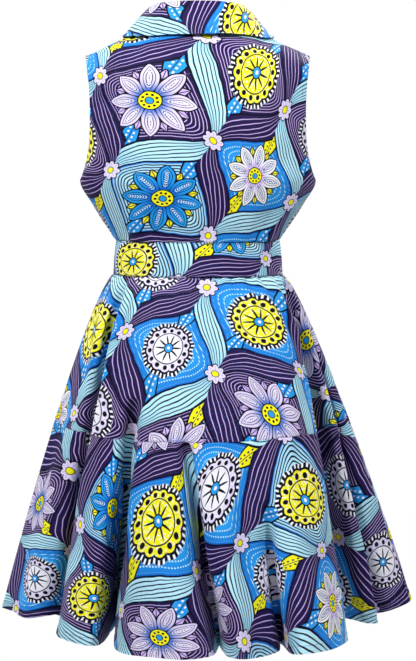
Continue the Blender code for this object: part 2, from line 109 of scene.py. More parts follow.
FOLD_LINES = (
    # name, waist_deg, hem_x, hem_y, start, ease
    ("side_left_outer", -94, -0.2665, 0.0300, 0.00, 0.85),
    ("r1_front", -86, -0.2500, -0.0020, 0.00, 1.1),
    ("r1_back", -74, -0.2240, -0.0580, 0.05, 1.2),
    ("r1_turn", -62, -0.2000, -0.0600, 0.06, 1.0),
    ("v1", -56, -0.1500, 0.0050, 0.04, 0.9),
    ("r2_edge", -50, -0.1860, -0.0800, 0.12, 1.0),
    ("r2_crest", -45, -0.1700, -0.1140, 0.10, 1.2),
    ("r2_crest_right", -41, -0.1400, -0.1330, 0.20, 1.2),
    ("r2_turn", -37, -0.1260, -0.1030, 0.36, 1.1),
    ("v2", -31, -0.1040, -0.0200, 0.33, 0.8),
    ("r3_edge", -26, -0.1080, -0.1120, 0.36, 1.1),
    ("r3_left", -23, -0.0920, -0.1660, 0.25, 1.3),
    ("r3_crest_left", -20, -0.0590, -0.1930, 0.15, 1.3),
    ("r3_crest", -17, -0.0183, -0.2080, 0.15, 1.3),
    ("r3_right", -14, 0.0098, -0.1950, 0.35, 1.2),
    ("r3_turn", -11, 0.0200, -0.1640, 0.46, 1.0),
    ("v3", -8, 0.0270, -0.1240, 0.44, 0.65),
    ("r4_edge", -4, 0.0370, -0.1820, 0.46, 1.0),
    ("r4_crest", 4, 0.0530, -0.2080, 0.30, 1.3),
    ("r4_right", 12, 0.0770, -0.1830, 0.45, 1.2),
    ("r4_turn", 18, 0.1000, -0.1520, 0.65, 1.1),
    ("v4", 22, 0.1060, -0.1200, 0.60, 0.75),
    ("r5_edge", 26, 0.1160, -0.1680, 0.62, 1.1),
    ("r5_crest", 34, 0.1320, -0.1910, 0.20, 1.3),
    ("r5_right", 48, 0.1660, -0.1640, 0.05, 1.2),
    ("r5_corner", 60, 0.1900, -0.1180, 0.02, 0.8),
    ("r5_turn", 68, 0.1940, -0.0760, 0.02, 0.7),
    ("v5", 73, 0.1530, -0.0120, 0.02, 0.62),
    ("v5_behind", 79, 0.1760, 0.0260, 0.02, 0.7),
    ("r6_left", 82, 0.2070, 0.0040, 0.04, 0.8),
    ("r6_crest", 85, 0.2270, -0.0210, 0.04, 0.9),
    ("r6_edge", 87, 0.2410, -0.0180, 0.06, 1.0),
    ("v6", 89, 0.2330, 0.0230, 0.08, 1.0),
    ("r7_left", 91, 0.2600, 0.0140, 0.06, 1.3),
    ("side_right_outer", 94, 0.2900, 0.0350, 0.00, 1.2),
    ("f1_crest", 98, 0.2880, 0.0740, 0.00, 1.2),
    ("f1_turn", 104, 0.2520, 0.0960, 0.12, 1.0),
    ("fv1", 109, 0.2010, 0.0780, 0.10, 0.8),
    ("f2_edge", 115, 0.2320, 0.1300, 0.12, 1.0),
    ("f2_crest", 121, 0.2190, 0.1640, 0.05, 1.2),
    ("f2_turn", 127, 0.1800, 0.1720, 0.28, 1.1),
    ("fv2", 131, 0.1450, 0.1150, 0.26, 0.8),
    ("f3_edge", 136, 0.1500, 0.1820, 0.28, 1.1),
    ("f3_crest_right", 143, 0.1250, 0.2120, 0.10, 1.3),
    ("f3_crest", 151, 0.0870, 0.2200, 0.10, 1.3),
    ("f3_turn", 158, 0.0600, 0.1880, 0.40, 1.1),
    ("fv3", 163, 0.0450, 0.1330, 0.38, 0.8),
    ("f4_edge", 168, 0.0330, 0.1940, 0.40, 1.1),
    ("f4_crest", 176, 0.0040, 0.2260, 0.10, 1.3),
    ("f4_crest_left", 185, -0.0340, 0.2240, 0.10, 1.3),
    ("f4_turn", 193, -0.0620, 0.1900, 0.52, 1.1),
    ("fv4", 198, -0.0700, 0.1360, 0.48, 0.75),
    ("f5_edge", 203, -0.0920, 0.1880, 0.48, 1.1),
    ("f5_crest", 212, -0.1240, 0.2080, 0.10, 1.3),
    ("f5_turn", 220, -0.1540, 0.1740, 0.22, 1.1),
    ("fv5", 226, -0.1440, 0.1080, 0.20, 0.8),
    ("f6_edge", 232, -0.1900, 0.1500, 0.22, 1.1),
    ("f6_crest", 240, -0.2170, 0.1300, 0.05, 1.2),
    ("f6_turn", 246, -0.2200, 0.0900, 0.12, 1.0),
    ("fv6", 251, -0.1800, 0.0560, 0.10, 0.8),
    ("f7_edge", 257, -0.2340, 0.0720, 0.10, 1.0),
)
HEM_RISE = {
    "side_left_outer": 0.002,
    "r1_front": 0.010,
    "r1_back": 0.018,
    "r1_turn": 0.026,
    "v1": 0.020,
    "r2_edge": 0.007,
    "r2_crest": 0.006,
    "r2_crest_right": 0.006,
    "r2_turn": 0.003,
    "v2": 0.001,
    "r3_edge": 0.002,
    "r3_left": 0.003,
    "r3_crest_left": 0.003,
    "r5_crest": -0.001,
    "r5_right": -0.002,
    "v5": 0.006,
    "v5_behind": 0.010,
    "r6_left": 0.006,
    "r6_crest": 0.002,
    "r6_edge": -0.002,
    "r7_left": 0.003,
}
SIDE_SEAMS = ("side_left_outer", "side_right_outer")
PER_LINE = 12  # columns of cloth between two fold lines
SKIRT_STEPS = 240  # steps down the cloth when a fold line is worked out

# ---------------------------------------------------------------- small helpers


def hermite(xs, ys, x):
    """A smooth line through (xs, ys) that never swings past its points."""
    xs, ys = np.asarray(xs, float), np.asarray(ys, float)
    slope = np.diff(ys) / np.diff(xs)
    tangent = np.zeros_like(ys)
    tangent[0], tangent[-1] = slope[0], slope[-1]
    a, b = slope[:-1], slope[1:]
    both = a * b > 0
    tangent[1:-1][both] = 2 * a[both] * b[both] / (a[both] + b[both])
    x = np.clip(x, xs[0], xs[-1])
    i = np.clip(np.searchsorted(xs, x, side="right") - 1, 0, len(xs) - 2)
    h = xs[i + 1] - xs[i]
    s = (x - xs[i]) / h
    return (
        ys[i] * (2 * s**3 - 3 * s**2 + 1)
        + ys[i + 1] * (3 * s**2 - 2 * s**3)
        + tangent[i] * h * (s**3 - 2 * s**2 + s)
        + tangent[i + 1] * h * (s**3 - s**2)
    )


def catmull(p0, p1, p2, p3, s):
    """Points at s between p1 and p2 of centripetal curves through all four."""

    def span(a, b):
        return np.sqrt(np.maximum(np.linalg.norm(a - b, axis=-1, keepdims=True), 1e-9))

    t0 = 0.0
    t1 = t0 + span(p0, p1)
    t2 = t1 + span(p1, p2)
    t3 = t2 + span(p2, p3)
    t = t1 + (t2 - t1) * s

    def mix(a, b, ta, tb):
        return (tb - t) / (tb - ta) * a + (t - ta) / (tb - ta) * b

    a1, a2, a3 = mix(p0, p1, t0, t1), mix(p1, p2, t1, t2), mix(p2, p3, t2, t3)
    return mix(mix(a1, a2, t0, t2), mix(a2, a3, t1, t3), t1, t2)


def smooth(a, b, x):
    """0 below a, 1 above b, with a soft turn at both."""
    s = np.clip((x - a) / (b - a), 0.0, 1.0)
    return s * s * (3 - 2 * s)


def ripples(u, v, seed, count, wave_u, wave_v):
    """A soft uneven surface of about -1 to 1: waves of many directions and lengths."""
    rng = np.random.default_rng(seed)
    total = np.zeros(np.broadcast(u, v).shape)
    for _ in range(count):
        ku = 2 * math.pi / (wave_u * rng.uniform(0.6, 1.8)) * rng.choice([-1, 1])
        kv = 2 * math.pi / (wave_v * rng.uniform(0.6, 1.8))
        total += np.sin(ku * u + kv * v + rng.uniform(0, 2 * math.pi))
    return total / math.sqrt(count / 2) / 1.6


def normals(P):
    """The normal of a grid of points at each of them."""
    du, dv = np.gradient(P, axis=1), np.gradient(P, axis=0)
    n = np.cross(du, dv)
    return n / np.maximum(np.linalg.norm(n, axis=-1, keepdims=True), 1e-12)


def lengths(P, axis):
    """How far each point lies along its row (axis 1) or column (axis 0)."""
    step = np.linalg.norm(np.diff(P, axis=axis), axis=-1)
    zero = np.zeros_like(np.take(step, [0], axis=axis))
    return np.cumsum(np.concatenate([zero, step], axis=axis), axis=axis)


# ---------------------------------------------------------------- bodice


def bodice_value(column, z):
    k = BODICE_COLUMNS.index(column)
    return hermite([row[0] for row in BODICE], [row[k] for row in BODICE], z)


def crest(x):
    x = np.abs(x)
    return np.where(
        x <= NECK_HALF,
        NECK_Z + (NECK_HALF - x) * 0.3,
        NECK_Z + (TIP_Z - NECK_Z) * (x - NECK_HALF) / (TIP_HALF - NECK_HALF),
    )


def torso_depth(side, x, z):
    x, z = np.asarray(x, float), np.asarray(z, float)
    low = np.minimum(z, CHEST_TOP_Z)
    mid, edge = bodice_value(side + "_mid", low), bodice_value(side + "_edge", low)
    share = np.minimum(np.abs(x) / bodice_value("half", z), 1.0)
    round_ = np.sqrt(1 - share**SECTION_POWER)
    depth = mid * round_ + edge * (1 - round_) ** 2
    rise = np.clip((z - CHEST_TOP_Z) / (crest(x) - CHEST_TOP_Z), 0.0, 1.0)
    return depth * np.sqrt(1 - rise**2)


def torso_point(side, x, z):
    turn = -1 if side == "back" else 1
    return np.stack(np.broadcast_arrays(x, turn * torso_depth(side, x, z), z), axis=-1)


def neck_z(side, x):
    share = np.minimum(np.abs(x) / NECK_HALF, 1.0)
    if side == "back":
        return NECK_BACK_Z + (NECK_Z - NECK_BACK_Z) * share**2
    return NECK_FRONT_Z + (NECK_Z - NECK_FRONT_Z) * share**NECK_V_POWER


def bodice_points(side, u, v):
    """u runs from -1 to 1 across, v from 0 at the waist over 1 at the underarm to 2."""
    neck_u = NECK_HALF / TIP_HALF
    low_z = WAIST_TOP_Z + (UNDERARM_Z - WAIST_TOP_Z) * v
    in_neck = np.abs(u) <= neck_u
    neck_x = NECK_HALF * np.sin(math.pi / 2 * np.clip(u / neck_u, -1, 1))
    tip_x = np.sign(u) * (
        NECK_HALF + (TIP_HALF - NECK_HALF) * (np.abs(u) - neck_u) / (1 - neck_u)
    )
    top_x = np.where(in_neck, neck_x, tip_x)
    top_z = np.where(in_neck, neck_z(side, neck_x), crest(tip_x))
    g = np.sin(math.pi / 2 * np.clip(v - 1, 0, 1))
    high_z = UNDERARM_Z + (top_z - UNDERARM_Z) * g
    top_share = top_x / bodice_value("half", top_z)
    low = v <= 1
    z = np.where(low, low_z, high_z)
    share = np.where(low, u, u + (top_share - u) * g**1.5)
    return torso_point(side, bodice_value("half", z) * share, z)


def bodice_grid(side):
    neck_u = NECK_HALF / TIP_HALF
    half = np.concatenate(
        [np.linspace(0, neck_u, 46)[:-1], np.linspace(neck_u, 1, 42)]
    )
    u = np.concatenate([-half[:0:-1], half])
    v = np.concatenate([np.linspace(0, 1, 30)[:-1], 1 + np.linspace(0, 1, 84) ** 1.15])
    P = bodice_points(side, u[None, :], v[:, None])
    # The last row stops just short of the shoulder seam, and more at the neck's.
    T = P[-1] - P[-2]
    far = np.linalg.norm(T, axis=-1, keepdims=True)
    short = np.where(np.abs(u) < neck_u, 0.0006, SEAM_GAP)[:, None]
    P[-1] = P[-2] + T * np.clip(1 - short / np.maximum(far, 1e-9), 0.05, 1)
    turn = -1 if side == "back" else 1
    P[..., 1] = turn * np.maximum(turn * P[..., 1], SEAM_GAP)
    return P, u, v


# ---------------------------------------------------------------- collar


def neck_point(at):
    side = "back" if at <= 1 else "front"
    x = NECK_HALF * math.sin(math.pi / 2 * (at if at <= 1 else 2 - at))
    return torso_point(side, x, neck_z(side, x))


def collar_line(points, share):
    """A smooth curve through a value of every station, 0 to 1 from the back to the V."""
    at = share * (len(points) - 1)
    i = min(int(at), len(points) - 2)
    before = points[i - 1] if i else points[1] * np.array([-1.0, 1.0, 1.0])
    after = points[i + 2] if i + 2 < len(points) else 2 * points[-1] - points[-2]
    return catmull(before, points[i], points[i + 1], after, at - i)


def off_bodice(p):
    """About how far points lie outside the bodice's middle surface, and which way out."""

    def level(q):
        x, y, z = q[..., 0], q[..., 1], q[..., 2]
        low = np.minimum(z, CHEST_TOP_Z)
        depth = np.where(y < 0, torso_depth("back", x, low), torso_depth("front", x, low))
        rise = np.maximum(z - CHEST_TOP_Z, 0.0) / (crest(x) - CHEST_TOP_Z)
        return np.hypot(y / np.maximum(depth, 0.004), rise) - 1

    step = 0.0004
    here = level(p)
    slope = np.stack([(level(p + step * e) - here) / step for e in np.eye(3)], axis=-1)
    size = np.linalg.norm(slope, axis=-1, keepdims=True)
    return here / size[..., 0], slope / size


def clear_of_bodice(p, gap):
    """Points moved straight out where they would lie within gap of the bodice."""
    gap = np.broadcast_to(gap, p.shape[:-1])
    for _ in range(6):
        away, out = off_bodice(p)
        p = p + out * np.maximum(gap - away, 0.0)[..., None]
    return p


def collar_grids():
    folds = np.array([row[1:4] for row in COLLAR], float)
    edges = np.array([torso_point(row[4], row[5], min(row[6], crest(row[5]) - 0.0002)) for row in COLLAR])
    edges = clear_of_bodice(edges, 0.0050)
    half = 170
    seam, fold, edge = [], [], []
    for k in range(-half, half + 1):
        share = abs(k) / half
        at = share * (len(COLLAR) - 1)
        i = min(int(at), len(COLLAR) - 2)
        seam_at = COLLAR[i][0] + (COLLAR[i + 1][0] - COLLAR[i][0]) * (at - i)
        flip = np.array([1.0 if k >= 0 else -1.0, 1.0, 1.0])
        seam.append(neck_point(seam_at) * flip)
        fold.append(collar_line(folds, share) * flip)
        edge.append(collar_line(edges, share) * flip)
    seam, fold, edge = np.array(seam), np.array(fold), np.array(edge)

    def unit(a):
        return a / np.linalg.norm(a, axis=-1, keepdims=True)

    up = fold - seam
    high = np.linalg.norm(up, axis=-1, keepdims=True)
    up = up / high
    start = seam + up * np.minimum(0.0009, 0.3 * high)
    stop = fold - up * np.minimum(0.0012, 0.35 * high)
    shares = np.linspace(0, 1, 17)[:, None, None]
    stand = start[None] + (stop - start)[None] * shares
    # The stand leans a little out at its middle, as a folded band does.
    lean = unit(fold * np.array([1.0, 1.0, 0.0]))
    stand = stand + lean[None] * 0.0010 * np.sin(math.pi * shares)

    out = unit(edge - fold)
    away = np.maximum(np.hypot(fold[:, 0], fold[:, 1]), 1e-9)[:, None]
    bulge = np.stack([fold[:, 0] / away[:, 0], fold[:, 1] / away[:, 0], np.zeros(len(fold))], -1) * 0.0020
    path = [fold - up * 0.0006 - out * 0.0009, fold + up * 0.0014 + out * 0.0004, fold + up * 0.0006 + out * 0.0042 + bulge]
    for share in (0.33, 0.62, 0.84, 1.0):
        crown = math.sin(math.pi * share) * 0.5 + (1 - share)
        path.append(fold + (edge - fold) * share + bulge * crown)
    path = np.array(path)
    # Its edge isn't quite level: it sags on the left of the back, and at the right shoulder.
    x, y = edge[:, 0], edge[:, 1]
    sag = 0.0045 * smooth(0.058, 0.094, x) + 0.0018 * np.exp(-(((x + 0.064) / 0.020) ** 2))
    sag -= 0.0013 * np.exp(-(((x - 0.032) / 0.020) ** 2))
    sag = sag * (1 - smooth(0.0, 0.060, y))
    path[3:, :, 2] -= sag * np.array([0.12, 0.40, 0.76, 1.0])[:, None]
    path[1:] = clear_of_bodice(path[1:], 0.0040)
    # A smooth curve through the path's rows.
    rows = []
    for i in range(len(path) - 1):
        before = path[i - 1] if i else 2 * path[0] - path[1]
        after = path[i + 2] if i + 2 < len(path) else 2 * path[-1] - path[-2]
        many = (4, 5, 10, 8, 6, 6)[i]
        for k in range(many):
            rows.append(catmull(before, path[i], path[i + 1], after, k / many))
    rows.append(path[-1])
    return stand, np.array(rows)


# ---------------------------------------------------------------- skirt


def cone(angle, t):
    g = t**FLARE_POWER
    a = WAIST_BOTTOM_HALF[0] + (HEM_HALF[0] - WAIST_BOTTOM_HALF[0]) * g
    b = WAIST_BOTTOM_HALF[1] + (HEM_HALF[1] - WAIST_BOTTOM_HALF[1]) * g
    return np.stack([HEM_CENTRE_X * g + a * math.sin(angle), -b * math.cos(angle)], axis=-1)


def fold_points():
    """Every fold line's points down the cloth: lines, levels, xyz."""
    t = np.linspace(0, 1, SKIRT_STEPS + 1)
    lines = []
    for name, waist_deg, hem_x, hem_y, start, ease in FOLD_LINES:
        angle = math.radians(waist_deg)
        plan = cone(angle, t)
        s = np.maximum(0.0, (t - start) / (1 - start))
        h = s**ease * (1 - 0.25 * (1 - s) ** 2)
        plan = plan + (np.array([hem_x, hem_y]) - plan[-1]) * h[:, None]
        run = SKIRT_LENGTH / SKIRT_STEPS
        flat = np.minimum(np.linalg.norm(np.diff(plan, axis=0), axis=-1), 0.8 * run)
        z = WAIST_BOTTOM_Z - 0.0003 - np.concatenate([[0.0], np.cumsum(np.sqrt(run**2 - flat**2))])
        z = z + HEM_RISE.get(name, 0.0) * s**3
        lines.append(np.concatenate([plan, z[:, None]], axis=1))
    return np.array(lines), t


def skirt_surface():
    """(grid of the whole ring: levels, columns, xyz; t of each level)."""
    lines, t = fold_points()
    levels = np.unique(np.round(np.concatenate([
        np.linspace(0, TIER_AT, 68), np.linspace(TIER_AT, 1.0, 84)]) * SKIRT_STEPS, 6))
    at = levels / SKIRT_STEPS
    picked = np.stack([
        np.stack([np.interp(at, t, line[:, k]) for k in range(3)], axis=-1) for line in lines
    ])
    before, after, beyond = (np.roll(picked, shift, axis=0) for shift in (1, -1, -2))
    ring = []
    for k in range(PER_LINE):
        ring.append(catmull(before, picked, after, beyond, k / PER_LINE))
    ring = np.stack(ring, axis=1).reshape(-1, *picked.shape[1:])
    return ring.transpose(1, 0, 2), at


# ---------------------------------------------------------------- shells


def facing_out(P, middle=None):
    """The normals of a grid, all on the side that faces away from the dress's middle."""
    n = normals(P)
    centre = P.reshape(-1, 3).mean(0) if middle is None else np.asarray(middle, float)
    away = (P - centre) * np.array([1.0, 1.0, 0.0])
    return n * (np.sign((n * away).sum()) or 1.0)


def turned(P, UV, n, thick, edges, deep=0.0035):
    """The grids with each named edge carried round and inwards, as its seam allowance."""
    for edge in edges:
        a, b = (0, 1) if edge == "top" else (-1, -2)
        T = P[a] - P[b]
        far = np.linalg.norm(T, axis=-1, keepdims=True)
        T, W, N = T / far, (UV[a] - UV[b]) / far, n[a]
        h = thick[a][:, None] / 2
        both = (N + T) / math.sqrt(2)
        steps = [
            (P[a] - T * (h + 0.0003), N, UV[a] - W * 0.0003),
            (P[a] - T * h * 0.95 - N * h * 0.5, both, UV[a]),
            (P[a] - T * h * 0.80 - N * h * 1.9, T, UV[a] + W * h * 1.5),
            (P[a] - T * h * 0.80 - N * deep, T, UV[a] + W * deep),
        ]
        grids = [np.array([s[k] for s in steps]) for k in range(3)]
        walls = np.repeat(thick[a][None], 4, axis=0)
        if a == 0:
            P, n, UV = (np.concatenate([g[::-1], old[1:]]) for g, old in zip(grids, (P, n, UV)))
            thick = np.concatenate([walls, thick[1:]])
        else:
            P, n, UV = (np.concatenate([old[:-1], g]) for g, old in zip(grids, (P, n, UV)))
            thick = np.concatenate([thick[:-1], walls])
    return P, UV, n, thick


def shell(name, P, UV, n, thick):
    """A closed cloth wall on a grid of points. n are its outward normals."""
    rows, cols = P.shape[:2]
    half = np.asarray(thick, float)[..., None] / 2
    outer, inner = P + n * half, P - n * half
    verts = np.concatenate([outer.reshape(-1, 3), inner.reshape(-1, 3)])
    index = np.arange(rows * cols).reshape(rows, cols)
    a, b, c, d = index[:-1, :-1], index[:-1, 1:], index[1:, 1:], index[1:, :-1]
    quads = np.stack([a, b, c, d], axis=-1).reshape(-1, 4)
    agree = (np.cross(np.gradient(P, axis=1), np.gradient(P, axis=0)) * n).sum() < 0
    # Rows run down or up and columns left or right: the outer faces are turned to n.
    top = quads if agree else quads[:, ::-1]
    m = rows * cols
    under = (quads[:, ::-1] if agree else quads) + m
    loop = np.concatenate([index[0, :-1], index[:-1, -1], index[-1, :0:-1], index[:0:-1, 0]])
    after = np.roll(loop, -1)
    rim = np.stack([after, loop, loop + m, after + m], axis=-1)
    if not agree:
        rim = rim[:, ::-1]
    faces = np.concatenate([top, under, rim])
    mesh = bpy.data.meshes.new(name)
    mesh.vertices.add(len(verts))
    mesh.vertices.foreach_set("co", verts.astype(np.float32).ravel())
    mesh.loops.add(faces.size)
    mesh.loops.foreach_set("vertex_index", faces.astype(np.int32).ravel())
    mesh.polygons.add(len(faces))
    mesh.polygons.foreach_set("loop_start", np.arange(0, faces.size, 4, dtype=np.int32))
    mesh.update(calc_edges=True)
    uv = np.concatenate([UV.reshape(-1, 2)] * 2)
    layer = mesh.uv_layers.new(name="cloth")
    layer.data.foreach_set("uv", uv[faces.ravel()].astype(np.float32).ravel())
    mesh.validate()
    mesh.shade_smooth()
    mesh.set_sharp_from_angle(angle=math.radians(55))
    obj = bpy.data.objects.new(name, mesh)
    bpy.context.scene.collection.objects.link(obj)
    return obj


def surface_area(P):
    a = np.cross(P[1:, :-1] - P[:-1, :-1], P[:-1, 1:] - P[:-1, :-1])
    b = np.cross(P[1:, :-1] - P[1:, 1:], P[:-1, 1:] - P[1:, 1:])
    return (np.linalg.norm(a, axis=-1).sum() + np.linalg.norm(b, axis=-1).sum()) / 2

# ---------------------------------------------------------------- creases

# Soft troughs (depth above 0) and ridges (below 0) of the bodice and the waistband,
# each along a line seen from its own side, in the frame's x and z.
CREASES = (
    # piece, x0, z0, x1, z1, width, depth
    ("bodice_back", 0.1080, -0.2560, 0.1330, -0.2090, 0.0050, 0.0016),
    ("bodice_back", 0.0900, -0.2560, 0.1200, -0.1960, 0.0060, -0.0012),
    ("bodice_back", 0.0720, -0.2570, 0.0960, -0.2080, 0.0060, 0.0012),
    ("bodice_back", -0.0930, -0.2560, -0.1200, -0.2030, 0.0060, 0.0014),
    ("bodice_back", -0.0740, -0.2570, -0.0960, -0.1990, 0.0070, -0.0010),
    ("bodice_back", -0.0500, -0.2570, -0.0640, -0.2170, 0.0060, 0.0010),
    ("bodice_back", -0.1400, -0.1700, -0.0850, -0.1480, 0.0090, 0.0012),
    ("bodice_back", 0.1400, -0.1680, 0.0900, -0.1400, 0.0100, 0.0013),
    ("bodice_back", 0.1280, -0.0900, 0.0850, -0.1050, 0.0100, 0.0009),
    ("bodice_back", -0.1250, -0.0760, -0.0800, -0.0980, 0.0110, 0.0009),
    ("bodice_back", -0.0700, 0.0000, -0.1050, -0.0450, 0.0080, 0.0008),
    ("bodice_back", 0.0760, -0.0020, 0.1110, -0.0430, 0.0080, 0.0008),
    ("bodice_back", 0.0100, -0.2570, 0.0140, -0.2230, 0.0070, 0.0007),
    ("bodice_front", 0.0950, -0.2560, 0.1230, -0.2020, 0.0060, 0.0014),
    ("bodice_front", 0.0700, -0.2570, 0.0860, -0.2010, 0.0070, -0.0011),
    ("bodice_front", -0.1000, -0.2560, -0.1260, -0.2080, 0.0060, 0.0013),
    ("bodice_front", -0.0760, -0.2570, -0.0920, -0.1900, 0.0080, 0.0010),
    ("bodice_front", -0.0300, -0.2570, -0.0340, -0.2230, 0.0060, 0.0008),
    ("bodice_front", 0.0350, -0.2570, 0.0420, -0.2170, 0.0070, 0.0008),
    ("bodice_front", 0.1390, -0.1660, 0.0860, -0.1420, 0.0100, 0.0012),
    ("bodice_front", -0.1400, -0.1690, -0.0900, -0.1500, 0.0090, 0.0012),
    ("bodice_front", 0.0000, -0.1120, 0.0240, -0.1450, 0.0080, 0.0007),
    ("bodice_front", 0.0000, -0.1120, -0.0260, -0.1400, 0.0080, 0.0007),
    ("waistband_back", -0.0900, -0.2620, -0.0820, -0.2990, 0.0050, 0.0006),
    ("waistband_back", -0.0350, -0.2650, -0.0300, -0.3010, 0.0060, 0.0005),
    ("waistband_back", 0.0480, -0.2600, 0.0550, -0.3000, 0.0055, 0.0006),
    ("waistband_back", 0.0920, -0.2620, 0.0840, -0.3010, 0.0045, 0.0007),
    ("waistband_front", -0.0800, -0.2620, -0.0870, -0.3000, 0.0050, 0.0006),
    ("waistband_front", 0.0200, -0.2600, 0.0160, -0.3010, 0.0060, 0.0005),
    ("waistband_front", 0.0860, -0.2640, 0.0800, -0.3000, 0.0050, 0.0006),
)

# The same on the skirt: from one place to another, as a share of the piece's width
# (0 at its left edge as seen from outside) and of the whole skirt's length.
SKIRT_CREASES = (
    # side, c0, t0, c1, t1, width, depth
    ("back", 0.20, 0.00, 0.17, 0.30, 0.0060, 0.0016),
    ("back", 0.245, 0.01, 0.235, 0.22, 0.0050, 0.0012),
    ("back", 0.33, 0.00, 0.315, 0.16, 0.0060, 0.0010),
    ("back", 0.41, 0.02, 0.40, 0.36, 0.0080, 0.0014),
    ("back", 0.46, 0.00, 0.462, 0.12, 0.0050, 0.0009),
    ("back", 0.525, 0.03, 0.53, 0.30, 0.0080, 0.0011),
    ("back", 0.58, 0.00, 0.585, 0.14, 0.0050, 0.0010),
    ("back", 0.63, 0.02, 0.65, 0.34, 0.0070, 0.0014),
    ("back", 0.70, 0.00, 0.715, 0.20, 0.0060, 0.0013),
    ("back", 0.765, 0.00, 0.79, 0.26, 0.0060, 0.0015),
    ("back", 0.84, 0.02, 0.85, 0.24, 0.0050, 0.0012),
    ("back", 0.37, 0.47, 0.36, 0.70, 0.0080, 0.0012),
    ("back", 0.44, 0.45, 0.445, 0.60, 0.0060, 0.0010),
    ("back", 0.60, 0.47, 0.61, 0.78, 0.0090, 0.0013),
    ("back", 0.68, 0.45, 0.69, 0.64, 0.0070, 0.0012),
    ("back", 0.29, 0.46, 0.28, 0.66, 0.0070, 0.0012),
    ("back", 0.52, 0.46, 0.515, 0.62, 0.0060, 0.0009),
    ("front", 0.16, 0.00, 0.15, 0.25, 0.0060, 0.0014),
    ("front", 0.27, 0.01, 0.26, 0.31, 0.0070, 0.0013),
    ("front", 0.38, 0.00, 0.385, 0.18, 0.0060, 0.0010),
    ("front", 0.47, 0.02, 0.475, 0.35, 0.0080, 0.0013),
    ("front", 0.56, 0.00, 0.55, 0.15, 0.0050, 0.0010),
    ("front", 0.66, 0.02, 0.67, 0.30, 0.0070, 0.0013),
    ("front", 0.79, 0.00, 0.80, 0.24, 0.0060, 0.0014),
    ("front", 0.33, 0.47, 0.34, 0.70, 0.0080, 0.0012),
    ("front", 0.52, 0.46, 0.51, 0.66, 0.0070, 0.0011),
    ("front", 0.70, 0.47, 0.71, 0.74, 0.0080, 0.0012),
)


CREASE_FORCE = 1.9


def trough(s):
    """A soft trough at s = 0, with a low lip on both sides."""
    return np.exp(-(s**2)) - 0.35 * np.exp(-((np.abs(s) - 1.9) ** 2))


def creased(name, P, still):
    """P pushed in or out along its creases, less so where still is low."""
    n = facing_out(P)
    x, z = P[..., 0], P[..., 2]
    push = np.zeros(x.shape)
    for piece, x0, z0, x1, z1, width, depth in CREASES:
        if piece != name:
            continue
        d = np.array([x1 - x0, z1 - z0])
        size = np.linalg.norm(d)
        d = d / size
        along = ((x - x0) * d[0] + (z - z0) * d[1]) / size
        across = (x - x0) * -d[1] + (z - z0) * d[0]
        wide = width * (1 + 0.6 * np.clip(along, 0, 1))
        taper = smooth(-0.12, 0.12, along) * (1 - smooth(0.45, 1.15, along))
        push -= CREASE_FORCE * depth * trough(across / wide) * taper
    return P + n * (push * still)[..., None]


# The main folds' grooves, drawn in further than their lines alone, and their ridges.
FOLD_DEPTHS = (
    # line, t of its start, full, still full and end, width, depth inwards
    ("v1", 0.02, 0.12, 0.48, 0.82, 0.0105, 0.0078),
    ("r1_turn", 0.06, 0.20, 0.50, 0.90, 0.0100, -0.0022),
    ("r2_edge", 0.08, 0.25, 0.60, 0.95, 0.0080, -0.0022),
    ("v2", 0.28, 0.40, 0.78, 1.02, 0.0090, 0.0062),
    ("r3_edge", 0.38, 0.50, 0.80, 1.00, 0.0070, -0.0015),
    ("v3", 0.38, 0.48, 0.80, 1.02, 0.0092, 0.0052),
    ("r3_right", 0.46, 0.58, 0.85, 1.00, 0.0080, -0.0012),
    ("v4", 0.54, 0.64, 0.86, 1.02, 0.0085, 0.0042),
    ("v5", 0.01, 0.08, 0.40, 0.78, 0.0080, 0.0062),
    ("r5_turn", 0.03, 0.12, 0.50, 0.90, 0.0085, -0.0022),
    ("v6", 0.08, 0.22, 0.60, 0.95, 0.0065, 0.0035),
    ("fv1", 0.03, 0.14, 0.45, 0.85, 0.0090, 0.0045),
    ("fv2", 0.22, 0.36, 0.65, 1.00, 0.0085, 0.0035),
    ("fv3", 0.34, 0.48, 0.75, 1.00, 0.0085, 0.0030),
    ("fv4", 0.44, 0.56, 0.80, 1.00, 0.0085, 0.0032),
    ("fv5", 0.12, 0.28, 0.55, 0.95, 0.0095, 0.0040),
    ("fv6", 0.04, 0.18, 0.50, 0.90, 0.0090, 0.0042),
)


def skirt_push(side, share, t, width_here):
    """How far the skirt's creases push its cloth out, at each point of a grid."""
    push = np.zeros(share.shape)
    for which, c0, t0, c1, t1, width, depth in SKIRT_CREASES:
        if which != side:
            continue
        along = (t[:, None] - t0) / (t1 - t0)
        centre = c0 + (c1 - c0) * np.clip(along, -0.2, 1.2)
        across = (share - centre) * width_here
        wide = width * (1 + 0.9 * np.clip(along, 0, 1))
        taper = smooth(-0.15, 0.10, along) * (1 - smooth(0.40, 1.15, along))
        push -= CREASE_FORCE * depth * trough(across / wide) * taper
    return push


# ---------------------------------------------------------------- stitches

THREAD_RADIUS = 0.00024
STITCH = 0.0025  # length of a stitch
STITCH_GAP = 0.0006


